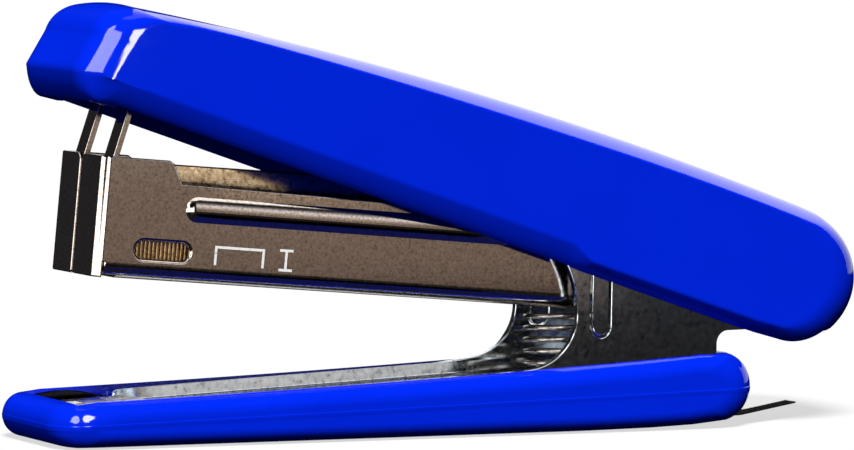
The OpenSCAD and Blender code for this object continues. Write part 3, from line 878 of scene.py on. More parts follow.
class Workshop:
    """Gives each piece its finish and its body, and hides the solids that it replaces."""

    def __init__(self) -> None:
        """Start with no material made."""
        self.materials: dict[str, bpy.types.Material] = {}
        self.faces = {kind: bpy.data.collections.new(kind.value) for kind in Gloss}

    def material(self, finish: Finish) -> bpy.types.Material:
        """The material of a finish, made once.

        Args:
            finish: the finish.

        Returns:
            Its material.
        """
        if finish.name not in self.materials:
            self.materials[finish.name] = finish.build()
        return self.materials[finish.name]

    def dress(self, piece: bpy.types.Object, finish: Finish) -> None:
        """Cover a piece with one finish.

        Args:
            piece: the piece.
            finish: its finish.
        """
        piece.data.materials.clear()
        piece.data.materials.append(self.material(finish))
        kinds = [Gloss.METAL, Gloss.BACK_LIT]
        if finish == ZINC:
            kinds.append(Gloss.TRAY)
        if isinstance(finish, GlossPlastic):
            on_handle = piece.name.startswith("handle")
            kinds = [Gloss.HANDLE] if on_handle else [Gloss.BASE, Gloss.BACK_LIT]
        for kind in (*kinds, Gloss.ANY):
            self.faces[kind].objects.link(piece)

    def deliver(self, piece: bpy.types.Object, finish: Finish, slot: Slot, body: Body | None,
                *nodes: str) -> None:
        """Dress a piece, and say what it stands for and rides on.

        Args:
            piece: the new piece.
            finish: its finish.
            slot: not used.
            body: the body that it rides on, or none for a piece between two bodies.
            *nodes: solids that the piece replaces.
        """
        self.dress(piece, finish)
        even = piece.modifiers.new("even_shading", "WEIGHTED_NORMAL")
        even.keep_sharp = True
        if nodes:
            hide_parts(*nodes)
        if body:
            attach(piece, body.value)
        log.info("%s: %d faces, %s", piece.name, len(piece.data.polygons), finish.name)


@dataclass
class BaseCover:
    """Blue moulded base: a wedge with a rounded rim, open on top for the steel frame."""

    width: float = 20.3
    front: float = -52.7
    rear: float = 38.2
    nose_r: float = 2.45
    rear_r: float = 4.0
    rear_z: float = 4.6
    rear_up: float = 4.1
    rear_down: float = 3.9
    corner_front: float = 4.2
    corner_rear: float = 5.0
    top_fillet: float = 2.2
    foot_fillet: float = 1.8
    round_front: Point2 = (-40.0, -50.75)
    round_rear: Point2 = (24.0, 36.2)
    rim_xs: Point3 = (-44.0, -6.0, 32.0)
    rim_zs: Point3 = (5.3, 6.7, 8.7)
    rim_run: Point2 = (-48.0, 31.0)
    heel: tuple[Point2, ...] = ((30.0, 0.35), (24.0, 0.15), (14.0, 0.0))
    foot_run: Point2 = (6.0, -48.0)
    edge_depth: float = 2.5
    depths: tuple[float, ...] = (2.9, 3.4, 4.0, 4.5, 5.0, 7.0, 9.0)
    smooth: float = 40.0
    cut_top: float = 30.0
    inner_w: float = 16.7
    ledge_w: float = 1.3
    floor_t: float = 1.0
    recess_front: float = -50.0
    hollow_front: float = -36.0
    hollow_gap: float = 0.4
    hollow_r: float = 1.0
    trough_rear: float = 32.9
    seat_drop: float = 0.93
    rib_xs: Point2 = (23.5, 30.0)
    rib_len: float = 5.0
    rib_low: float = 0.8
    rib_r: float = 0.3
    rivet_well: Point2 = (2.1, 0.85)
    mouth: Point3 = (30.6, 40.2, 1.2)
    mouth_w: float = 13.4
    seam: Point2 = (0.16, 0.05)
    seam_shape: tuple[Point2, ...] = ((0.0, -3.0), (0.6, -1.0), (1.0, 0.3), (0.7, 0.7), (0.0, 1.0))
    seam_root: float = -0.3
    seam_run: Point2 = (-46.0, 31.0)
    edge: float = 0.3

    def rim(self, x: float) -> float:
        """Height of the rim at x, on a parabola through three heights.

        Args:
            x: place along the base.

        Returns:
            The height.
        """
        total = 0.0
        for i, z in enumerate(self.rim_zs):
            others = [self.rim_xs[k] for k in range(3) if k != i]
            here = self.rim_xs[i]
            total += z * math.prod((x - o) / (here - o) for o in others)
        return total

    def outline(self) -> list[Point4]:
        """Side view: x, z, share of the top fillet and share of the foot fillet.

        Returns:
            Points of the closed outline.
        """
        points = []
        for c, s in sweep(260, 100, 40):
            x = self.front + self.nose_r * (1 + c)
            points.append((x, self.nose_r * (1 + s), max(0, s), max(0, -s)))
        points += [(x, self.rim(x), 1.0, 0.0) for x in span(*self.rim_run, 50)]
        for c, s in sweep(80, -80, 40):
            rise = self.rear_up if s > 0 else self.rear_down
            x = self.rear - self.rear_r + self.rear_r * c
            points.append((x, self.rear_z + rise * s, max(0, s), max(0, -s)))
        points += [(x, z, 0.0, 1.0) for x, z in self.heel]
        points += [(x, 0.0, 0.0, 1.0) for x in span(*self.foot_run, 27)]
        return points

    def ring(self, depth: float, side: Side) -> list[Point3]:
        """Outline at a depth from one side face.

        Args:
            depth: depth below the side face.
            side: the side.

        Returns:
            Points of the ring.
        """
        return [
            (
                x + fillet(self.corner_front, depth) * ramp(x, *self.round_front)
                - fillet(self.corner_rear, depth) * ramp(x, *self.round_rear),
                side.value * (self.width / 2 - depth),
                z - top * fillet(self.top_fillet, depth) + foot * fillet(self.foot_fillet, depth),
            )
            for x, z, top, foot in self.outline()
        ]

    def build(self, shop: Workshop) -> None:
        """Make the cover, cut the trough, the hollow and the tongue's mouth, and dress it.

        Args:
            shop: workshop that dresses the pieces.
        """
        depths = [self.edge_depth * (1 - c) for c, _ in sweep(0, 90, 14)]
        depths += self.depths
        rings = [self.ring(d, Side.NEAR) for d in depths]
        rings += [self.ring(d, Side.FAR) for d in reversed(depths)]
        cover = Solid.loft(rings).make("base_shell", smooth=self.smooth)
        half = self.inner_w / 2
        seat = [ON_FLOOR.put((x, 0, -self.seat_drop)) for x in (self.recess_front, self.trough_rear)]
        trough = [(p.x, p.z) for p in seat]
        trough += [(self.trough_rear, self.cut_top), (self.recess_front, self.cut_top)]
        ends = (self.hollow_front, self.trough_rear - self.hollow_gap)
        hollow = box(ends, (self.floor_t, self.cut_top), (self.hollow_r, self.hollow_r, 0, 0))
        rear, tip, high = self.mouth
        mouth = box((rear, tip), (self.floor_t, self.floor_t + high), (0, 0, 0, 0))
        cutters = [
            prism(trough, -half, half),
            prism(hollow, -half + self.ledge_w, half - self.ledge_w),
            prism(mouth, -self.mouth_w / 2, self.mouth_w / 2),
        ]
        radius, height = self.rivet_well
        for x in self.rib_xs:
            well = Solid.lathe([(radius, -1.0), (radius, height)])
            cutters.append(well.map(lambda p, x=x: (p.x + x, p.y, p.z)).make("cutter"))
        carve(cover, cutters, self.smooth)
        ease_edges(cover, self.edge)
        shop.deliver(cover, BLUE, Slot.BLUE_COVER, Body.BASE, "base_cover")
        self.build_seam(shop)
        self.build_ribs(shop)

    def build_seam(self, shop: Workshop) -> None:
        """Make the fine raised parting line around the cover, from the nose's tip to the rear's.

        Args:
            shop: workshop that dresses the pieces.
        """
        half, high = self.width / 2, self.rear_z - self.nose_r
        plan = [
            (self.front + self.corner_front * (1 + c), -half + self.corner_front * (1 + s))
            for c, s in sweep(180, 270, 24)
        ]
        plan += [(x, -half) for x in span(*self.seam_run, 40)]
        plan += [
            (self.rear - self.corner_rear * (1 - c), -half + self.corner_rear * (1 + s))
            for c, s in sweep(270, 360, 24)
        ]
        plan += [(x, -y) for x, y in reversed(plan)]
        tall, proud = self.seam
        section = [(proud * out, tall * up) for out, up in self.seam_shape] + [(self.seam_root, 0.0)]
        inward = Solid.inward([Vector(p) for p in plan])
        rings = []
        for out, up in section:
            ring = [Vector(p) - n * out for p, n in zip(plan, inward)]
            slope = [self.nose_r + high * ramp(p.x, self.front, self.rear) for p in ring]
            rings.append([(p.x, p.y, z + up) for p, z in zip(ring, slope)])
        made = Solid.band(rings).make("base_seam", smooth=60)
        shop.deliver(made, BLUE, Slot.BLUE_COVER, Body.BASE)

    def build_ribs(self, shop: Workshop) -> None:
        """Make the two cross ribs that the frame is riveted to.

        Args:
            shop: workshop that dresses the pieces.
        """
        ribs = Solid()
        for x in self.rib_xs:
            ends = (x - self.rib_len / 2, x + self.rib_len / 2)
            high = ON_FLOOR.put((ends[0], 0, -self.seat_drop)).z
            outline = box(ends, (self.floor_t + self.rib_low, high), (self.rib_r,) * 4, 4)
            half = self.inner_w / 2
            ribs.join(Solid.plate(outline, [], 2 * half).map(lambda p: (p.x, p.z - half, p.y)))
        made = ribs.make("base_ribs")
        shop.deliver(made, BLUE, Slot.BLUE_COVER, Body.BASE)


@dataclass
class BaseFrame:
    """Steel tray in the base, whose flanges rise into two ears."""

    width: float = 16.4
    sheet: float = 0.9
    front: float = -48.1
    rear: float = 32.6
    corner: float = 1.2
    rear_corner: float = 0.2
    flange_front: float = -38.8
    flange_run: Point2 = (-30.0, 3.0)
    flange_h: float = 1.5
    flange_r: float = 1.1
    ear_z: float = 13.7
    ear_low_x: float = 7.0
    ear_low_r: Point2 = (6.7, 6.3)
    ear_low_turn: Point2 = (-82.0, 0.0)
    ear_high_x: float = 1.7
    ear_high_r: float = 12.0
    ear_high_turn: Point2 = (6.0, 33.0)
    boss_r: float = 6.0
    boss_turn: Point2 = (100.0, -90.0)
    tail_z: float = 11.4
    tail_fillet: float = 1.5
    lance: Point2 = (16.8, 12.3)
    lance_top: float = 19.0
    lance_r: Point2 = (1.4, 1.1)
    pin_r: float = 1.5
    edge: float = 0.14
    fold_h: float = 1.42
    fold_lean: float = 0.2
    fold_r: float = 0.3
    fold_run: float = 4.0
    fold_rest: float = -25.0
    fold_end: float = 0.5
    fold_lap: float = 0.2
    # The lip is a near-black sheet that paints the shade in the recess at the front of the base.
    lip_t: float = 0.25
    lip_gap: float = 0.02
    lip_drop: Point2 = (0.35, 0.45)
    lip_round: Point2 = (-46.0, -50.0)
    lip_foot: float = 0.6
    lip_slope: Point3 = (-43.3, -38.8, 1.1)

    def ear_outline(self) -> list[Point2]:
        """Side view of one flange with its ear.

        Returns:
            Points of the closed outline.
        """
        start = self.flange_front
        low, high = floor_z(start) - self.sheet, floor_z(start) + self.flange_h
        r, tail = self.flange_r, self.tail_fillet
        return (
            [(start, low)]
            + arc((start + r, high - r), (r, r), 180, 92, 8)
            + [(x, floor_z(x) + self.flange_h) for x in span(*self.flange_run, 6)]
            + arc((self.ear_low_x, self.ear_z), self.ear_low_r, *self.ear_low_turn, 24)
            + arc((self.ear_high_x, self.ear_z), (self.ear_high_r,) * 2, *self.ear_high_turn, 8)
            + arc(PIVOT, (self.boss_r,) * 2, *self.boss_turn, 40)
            + arc((self.rear + tail, self.tail_z - tail), (tail, tail), 90, 180, 8)
            + [(self.rear, floor_z(self.rear) - self.sheet)]
        )

    def lance_slit(self) -> list[Point2]:
        """U-shaped slit that frees a spring tongue in an ear.

        Returns:
            Points of the closed outline.
        """
        x, z = self.lance
        wide, slim = self.lance_r
        return (
            [(x - wide, self.lance_top)]
            + arc((x, z), (wide, wide), 180, 360, 20)
            + [(x + wide, self.lance_top), (x + slim, self.lance_top)]
            + arc((x, z), (slim, slim), 360, 180, 20)
            + [(x - slim, self.lance_top)]
        )

    def fold(self, side: Side) -> Solid:
        """Inner face of one flange, which leans out a little and turns into the floor.

        Args:
            side: side of the flange.

        Returns:
            The solid.
        """
        wall = self.width / 2 - self.sheet
        start = self.flange_front + self.flange_r
        r, lap = self.fold_r, self.fold_lap
        rings = []
        places = span(start, start + self.fold_run, 10)
        for x in places + span(self.fold_rest, self.rear - self.fold_end, 10):
            foot = wall - self.fold_lean * ease(ramp(x, start, start + self.fold_run))
            section = [(wall + lap, self.fold_h), (wall, self.fold_h)]
            section += arc((foot - r, r), (r, r), 0, -90, 6) + [(foot - r, -lap), (wall + lap, -lap)]
            rings.append([(x, side.value * y, floor_z(x) + z) for y, z in section])
        return Solid.loft(rings)

    def build(self, shop: Workshop) -> None:
        """Make the floor and both ears as one pressed sheet, and dress it.

        Args:
            shop: workshop that dresses the pieces.
        """
        half = self.width / 2
        inner = half - self.sheet / 2
        corners = (self.corner, self.rear_corner, self.rear_corner, self.corner)
        floor = box((self.front, self.rear), (-inner, inner), corners)
        tray = Solid.plate(floor, [], self.sheet, self.edge)
        tray.map(lambda p: ON_FLOOR.put((p.x, p.y, -p.z)))
        holes = [self.lance_slit(), circle(PIVOT, self.pin_r)]
        for side in Side:
            ear = Solid.plate(self.ear_outline(), holes, self.sheet, self.edge)
            tray.join(ear.map(lambda p, s=side.value: (p.x, s * (half - p.z), p.y)))
            tray.join(self.fold(side))
        made = tray.make("base_tray")
        shop.deliver(made, ZINC, Slot.NICKEL_SHEET, Body.BASE, "base_frame")
        self.build_shade_lip(shop)

    def build_shade_lip(self, shop: Workshop) -> None:
        """Make a thin near-black sheet along the front of the cover's opening, around the anvil: painted
        shade that darkens the recess there.

        Args:
            shop: workshop that dresses the pieces.
        """
        cover = BaseCover()
        t = self.lip_t
        half, front = cover.inner_w / 2 - self.lip_gap, cover.recess_front + self.lip_gap
        rear = self.flange_front - self.lip_gap
        turn = [(x, -half, 0, 1) for x in span(rear, self.lip_round[0], 4)] + [(front, -half, 1, 1)]
        turn += [(x, -y, nx, -ny) for x, y, nx, ny in reversed(turn)]
        rings = []
        for x, y, nx, ny in turn:
            low = floor_z(x) - self.lip_foot
            start, end, fall = self.lip_slope
            high = cover.rim(x) - self.lip_drop[0] - self.lip_drop[1] * ramp(x, *self.lip_round)
            high -= fall * ramp(x, start, end)
            section = [(0, low), (0, high), (t / 2, high), (t, high - t / 2), (t, low)]
            rings.append([(x + nx * d, y + ny * d, z) for d, z in section])
        made = Solid.loft(rings).make("base_shade_lip")
        shop.deliver(made, RECESS_SHADE, Slot.DARK_STEEL, Body.BASE)


@dataclass
class RemoverTongue:
    """Thin ground steel tongue that sticks out of the rear of the base."""

    inner: float = 20.0
    taper: float = 37.2
    bend: float = 36.6
    tip: float = 48.2
    root_w: float = 13.0
    tip_w: float = 3.0
    low: float = 1.0
    sheet: float = 0.7
    rise: float = 0.7
    tip_edge: float = 0.12
    tip_turn: float = 62.0
    grind: float = 2.5
    edge: float = 0.09

    def place(self, point: Vector) -> Point3:
        """Bend a flat point up behind the base, and thin it towards the ground tip.

        Args:
            point: point of the flat tongue.

        Returns:
            Its place.
        """
        climb = self.rise * ramp(point.x, self.bend, self.tip)
        thin = ramp(point.x, self.tip - self.grind, self.tip)
        top = self.sheet + (self.tip_edge - self.sheet) * thin
        return (point.x, point.y, self.low + climb + top * (1 - point.z / self.sheet))

    def build(self, shop: Workshop) -> None:
        """Make the tongue and dress it.

        Args:
            shop: workshop that dresses the pieces.
        """
        half = self.root_w / 2
        r = self.tip_w / 2
        outline = (
            [(self.inner, -half), (self.taper, -half)]
            + arc((self.tip - r, 0), (r, r), -self.tip_turn, self.tip_turn, 18)
            + [(self.taper, half), (self.inner, half)]
        )
        tongue = Solid.plate(outline, [], self.sheet, self.edge)
        tongue.split(0, [self.bend, self.tip - self.grind]).map(self.place)
        made = tongue.make("remover_tongue")
        shop.deliver(made, BRIGHT, Slot.NICKEL_SHEET, Body.BASE, "remover_blade")


@dataclass
class Magazine:
    """Steel channel that holds the staples, bent from one blank: floor, walls and front flaps."""

    half: float = 6.2
    sheet: float = 0.6
    bend_r: float = 1.6
    drop: float = 5.8
    front: float = -91.3
    flap_r: float = 1.2
    flap_gap: float = 0.12
    flap_low: float = 0.0
    flap_corners: Point2 = (0.9, 0.4)
    relief: float = 0.1
    exit_x: float = -88.3
    exit_q: float = 5.6
    tower_h: float = 13.7
    tower_end: float = -82.7
    tower_ramp: float = 1.5
    tower_ease: Point3 = (0.35, 0.3, 0.2)
    wall_h: float = 11.2
    wall_fall: float = 0.9
    rear_top: float = -4.0
    rear_r: float = 5.0
    rear_turn: Point2 = (-57.0, 70.0)
    rear_floor: float = -0.5
    far_ramp: float = 0.8
    far_h: Point2 = (13.0, 13.2)
    far_rear: Point2 = (-50.0, -45.0)
    slot: Point4 = (-82.9, 6.7, 2.0, 3.4)
    pin_r: float = 1.55
    rib: Point2 = (-80.5, -38.0)
    rib_z: float = 8.35
    rib_w: float = 2.9
    rib_h: float = 0.42
    rib_sunk: float = 0.1
    rib_crown: float = 0.04
    inside_gap: float = 0.02
    edge: float = 0.18
    hole_edge: float = 0.4

    @property
    def bend_start(self) -> float:
        """Place on the blank, from its middle, where the lower bend starts."""
        return self.half - self.bend_r

    @property
    def bend_end(self) -> float:
        """Place on the blank, from its middle, where the wall starts."""
        return self.bend_start + self.bend_r * math.pi / 2

    @property
    def flap_x(self) -> float:
        """Where the front bend starts."""
        return self.front + self.flap_r

    def up(self, height: float) -> float:
        """Place on the blank of a height on the wall, measured from the channel's underside."""
        return self.bend_end + height - self.bend_r

    def wall_top(self, x: float) -> float:
        """Height of the near wall at x, which falls to the rear."""
        return self.wall_h - self.wall_fall * (x - self.tower_end) / (self.rear_top - self.tower_end)

    def half_blank(self, side: Side) -> list[Point2]:
        """Half of the blank's outline, as x and distance from the middle.

        Args:
            side: the half.

        Returns:
            Points from its rear to its front.
        """
        seam = self.flap_x - self.flap_r * math.pi / 2 - (self.half - self.flap_r - self.flap_gap)
        points = [(self.rear_floor, self.bend_start)]
        rear = arc((0, 0), (self.rear_r,) * 2, *self.rear_turn, 30)
        points += [(x, self.up(z + self.drop)) for x, z in rear]
        points.append((self.rear_top, self.up(self.wall_top(self.rear_top))))
        if side is Side.FAR:
            points.append((self.far_rear[1], self.up(self.wall_top(self.far_rear[1]))))
            points.append((self.far_rear[0], self.up(self.far_h[1])))
            points.append((self.tower_end + self.far_ramp, self.up(self.far_h[0])))
        else:
            end = self.tower_end + self.tower_ramp
            points.append((end, self.up(self.wall_top(end))))
        top, low = self.up(self.tower_h), self.up(self.flap_low)
        behind, below, ahead = self.tower_ease
        points += [(self.tower_end + behind, top - below), (self.tower_end - ahead, top)]
        high_r, low_r = self.flap_corners
        points += arc((seam + high_r, top - high_r), (high_r, high_r), 90, 180, 8)
        points += arc((seam + low_r, low + low_r), (low_r, low_r), 180, 270, 5)
        points += [
            (self.flap_x - self.relief, low),
            (self.flap_x - self.relief, self.up(self.bend_r) + self.relief),
            (self.flap_x + self.relief, self.up(self.bend_r) + self.relief),
            (self.flap_x + self.relief, self.exit_q),
            (self.exit_x, self.exit_q),
        ]
        return points

    def bend(self, point: Vector) -> Point3:
        """Fold a point of the flat blank.

        Args:
            point: x, place across the blank, and depth below its outer face.

        Returns:
            Its place.
        """
        x, across, depth = point
        sign = -1 if across < 0 else 1
        away = abs(across)
        if x < self.flap_x - CUT_TOLERANCE / 10:
            rolled = self.flap_x - x
            turn = min(rolled / self.flap_r, math.pi / 2)
            rest = max(0.0, rolled - self.flap_r * math.pi / 2)
            y = self.half - self.flap_r + (self.flap_r - depth) * math.cos(turn) - rest
            return (
                self.flap_x - (self.flap_r - depth) * math.sin(turn),
                sign * y,
                self.bend_r + away - self.bend_end - self.drop,
            )
        if away >= self.bend_end:
            return (x, sign * (self.half - depth), self.bend_r + away - self.bend_end - self.drop)
        if away >= self.bend_start:
            turn = (self.bend_end - away) / self.bend_r
            reach = self.bend_r - depth
            y = self.bend_start + reach * math.cos(turn)
            return (x, sign * y, self.bend_r - reach * math.sin(turn) - self.drop)
        return (x, across, depth - self.drop)

    def channel(self) -> Solid:
        """The folded channel with its window slots and pin holes.

        Returns:
            The solid.
        """
        near = [(x, -q) for x, q in self.half_blank(Side.NEAR)]
        outline = near + self.half_blank(Side.FAR)[::-1]
        middle, length, height, level = self.slot
        start, end = middle - length / 2, middle + length / 2
        holes = []
        for side in Side:
            holes.append(obround(start, end, height, side.value * self.up(level)))
            holes.append(circle((0.0, side.value * self.up(self.drop)), self.pin_r))
        sheet = Solid.plate(outline, holes, self.sheet, self.edge, self.hole_edge)
        folds = span(self.bend_start, self.bend_end, 12)
        sheet.split(1, [-q for q in folds] + folds)
        sheet.split(0, [self.flap_x - s for s in span(0.0, self.flap_r * math.pi / 2, 12)])
        return sheet.map(self.bend)

    def rib_profile(self) -> list[Point2]:
        """Section of a rib from its foot to its crown: inset from its outline and height.

        Returns:
            Points of the section.
        """
        half = self.rib_w / 2
        radius = (half ** 2 + self.rib_h ** 2) / (2 * self.rib_h)
        foot = math.asin(half / radius)
        points = [(0.0, -self.rib_sunk)]
        for a in span(foot, self.rib_crown, 12):
            points.append((half - radius * math.sin(a), radius * math.cos(a) - radius + self.rib_h))
        return points

    def ribs(self) -> Solid:
        """The long pressed rib on each wall.

        Returns:
            Both ribs as one solid.
        """
        both = Solid()
        for side in Side:
            rings = []
            for inset, height in self.rib_profile():
                start, end = self.rib[0] + inset, self.rib[1] - inset
                ring = obround(start, end, self.rib_w - 2 * inset, self.rib_z - self.drop, 20)
                rings.append([(x, side.value * (self.half + height), z) for x, z in ring])
            both.join(Solid.loft(rings))
        return both

    def build(self, shop: Workshop) -> None:
        """Make the channel with its ribs, and dress it.

        Args:
            shop: workshop that dresses the pieces.
        """
        made = self.channel().join(self.ribs()).make("magazine", IN_MAGAZINE, smooth=24)
        shop.deliver(made, NICKEL, Slot.NICKEL_SHEET, Body.MAGAZINE, "magazine_channel")
        # The inner faces of the walls get the brighter, warmer copy of the sheet: a painted sheen on the
        # far inner wall.
        made.data.materials.append(shop.material(INSIDE_SHEEN))
        for face in made.data.polygons:
            inside = abs(abs(face.center.y) / MM - self.half + self.sheet) < self.inside_gap
            face.material_index = 1 if inside else 0


@dataclass
class StapleMark:
    """White print on the near wall of the magazine: a plain staple sign and a height tick."""

    face_y: float = -6.2
    drop: float = 5.8
    sign: Point2 = (-76.45, -70.15)
    sign_z: Point2 = (2.25, 4.45)
    tick_x: float = -67.4
    tick_z: Point2 = (2.05, 4.6)
    serif: float = 0.85
    line: float = 0.3
    coat: float = 0.02
    edge: float = 0.008

    def bar(self, low: Point2, high: Point2) -> Solid:
        """One stroke of the print.

        Args:
            low: its lower corner.
            high: its upper corner.

        Returns:
            The solid.
        """
        outline = box((low[0], high[0]), (low[1], high[1]), (0, 0, 0, 0))
        stroke = Solid.plate(outline, [], 2 * self.coat, self.edge)
        return stroke.map(lambda p: (p.x, self.face_y + self.coat - p.z, p.y - self.drop))

    def build(self, shop: Workshop) -> None:
        """Print the sign and the tick.

        Args:
            shop: workshop that dresses the pieces.
        """
        (x0, x1), (z0, z1), w = self.sign, self.sign_z, self.line
        print_work = self.bar((x0, z1 - w), (x1, z1))
        print_work.join(self.bar((x0, z0), (x0 + w, z1 - w))).join(self.bar((x1 - w, z0), (x1, z1 - w)))
        low, high = self.tick_z
        x, s = self.tick_x, self.serif
        print_work.join(self.bar((x - w / 2, low + w), (x + w / 2, high - w)))
        print_work.join(self.bar((x - s, low), (x + s, low + w)))
        print_work.join(self.bar((x - s, high - w), (x + s, high)))
        made = print_work.make("staple_mark", IN_MAGAZINE)
        shop.deliver(made, INK, Slot.NICKEL_SHEET, Body.MAGAZINE)


@dataclass
class StapleStrip:
    """Strip of staples glued side by side, each a bent wire."""

    front: float = -88.6
    count: int = 44
    wire: float = 0.5
    seam: float = 0.05
    width: float = 9.4
    height: float = 4.7
    low: float = -5.08
    bend: float = 0.55
    soft: float = 0.09

    def staple(self, x: float) -> Solid:
        """One staple.

        Args:
            x: place of its front face.

        Returns:
            The solid.
        """
        half, top = self.width / 2 - self.wire / 2, self.low + self.height - self.wire / 2
        r = self.bend
        path = [(-half, self.low)]
        path += arc((-half + r, top - r), (r, r), 180, 90, 5)
        path += arc((half - r, top - r), (r, r), 90, 0, 5)
        path.append((half, self.low))
        deep, thick, soft = (self.wire - self.seam) / 2, self.wire / 2, self.soft
        section = [
            (-deep, -thick + soft), (-deep + soft, -thick), (deep - soft, -thick), (deep, -thick + soft),
            (deep, thick - soft), (deep - soft, thick), (-deep + soft, thick), (-deep, thick - soft),
        ]
        rings = []
        for i, (y, z) in enumerate(path):
            ahead = Vector(path[min(i + 1, len(path) - 1)]) - Vector(path[max(i - 1, 0)])
            out = Vector((-ahead.y, ahead.x)).normalized()
            rings.append([(x + self.wire / 2 + a, y + out.x * b, z + out.y * b) for a, b in section])
        return Solid.loft(rings)

    def build(self, shop: Workshop) -> None:
        """Make the strip and dress it.

        Args:
            shop: workshop that dresses the pieces.
        """
        strip = Solid()
        for i in range(self.count):
            strip.join(self.staple(self.front + i * self.wire))
        made = strip.make("staples", IN_MAGAZINE, smooth=50)
        shop.deliver(made, GOLD, Slot.STAPLE_WIRE, Body.MAGAZINE, "staple_strip")


@dataclass
class Springs:
    """The three wound springs: under the magazine, behind the pusher, and at the pivot."""

    steps: int = 28
    lift_x: float = 15.7
    lift_r: float = 4.0
    lift_wire: float = 0.6
    lift_turns: float = 4.75
    lift_z: Point2 = (6.7, 13.25)
    lift_seat: float = 6.35
    lift_keep: float = 0.33
    push_x: Point2 = (-58.7, -25.3)
    push_stop: float = -25.0
    push_z: float = -2.75
    push_r: float = 1.35
    push_wire: float = 0.4
    push_turns: int = 28
    push_keep: float = 0.53
    arm_low: tuple[Point2, Point2] = ((-11.5, -4.75), (-6.0, -3.6))
    arm_high: tuple[Point2, Point2] = ((-6.0, 5.7), (-11.5, 8.0))
    twist_r: float = 2.5
    twist_wire: float = 0.6
    twist_turns: float = 4.5
    twist_w: float = 4.6
    twist_span: tuple[Point3, Point3] = ((-6.0, 0.0, -3.0), (-6.0, 0.0, 4.0))

    def helix(self, turns: float) -> list[Point2]:
        """Angle in radians and share of the length, along a helix."""
        count = round(turns * self.steps)
        return [(2 * math.pi * turns * s, s) for s in span(0.0, 1.0, count)]

    def build_lift(self, shop: Workshop) -> None:
        """Make the coil that holds the magazine up.

        Args:
            shop: workshop that dresses the pieces.
        """
        low, high = self.lift_z
        path = [
            (self.lift_x + self.lift_r * math.cos(a), self.lift_r * math.sin(a), low + (high - low) * s)
            for a, s in self.helix(self.lift_turns)
        ]
        coil = Solid.tube(path, self.lift_wire / 2).make("lift_coil", smooth=50)
        shop.deliver(coil, WIRE, Slot.SPRING_WIRE, Body.BASE, "lift_spring")
        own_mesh(coil)

    def build_push(self, shop: Workshop) -> None:
        """Make the coil behind the pusher.

        Args:
            shop: workshop that dresses the pieces.
        """
        start, end = self.push_x
        path = []
        for a, s in self.helix(self.push_turns):
            y, z = self.push_r * math.cos(a), self.push_z + self.push_r * math.sin(a)
            path.append((start + (end - start) * s, y, z))
        coil = Solid.tube(path, self.push_wire / 2, 8).make("pusher_coil", IN_MAGAZINE, smooth=60)
        shop.deliver(coil, WIRE, Slot.SPRING_WIRE, Body.MAGAZINE, "pusher_spring")
        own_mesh(coil)

    def build_twist(self, shop: Workshop) -> None:
        """Make the coil at the pivot, with one arm on the magazine and one under the handle.

        Args:
            shop: workshop that dresses the pieces.
        """
        y = self.twist_w / 2
        path = [(x, -y, z) for x, z in self.arm_low]
        for a, s in self.helix(self.twist_turns):
            turn = a - math.pi / 2
            x, z = self.twist_r * math.cos(turn), self.twist_r * math.sin(turn)
            path.append((x, -y + self.twist_w * s, z))
        path += [(x, y, z) for x, z in self.arm_high]
        coil = Solid.tube(path, self.twist_wire / 2, 10).make("pivot_coil", IN_MAGAZINE, smooth=60)
        shop.deliver(coil, WIRE, Slot.SPRING_WIRE, None, "handle_spring")
        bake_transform(coil)

    def build(self, shop: Workshop) -> None:
        """Make all three springs.

        Args:
            shop: workshop that dresses the pieces.
        """
        self.build_lift(shop)
        self.build_push(shop)
        self.build_twist(shop)


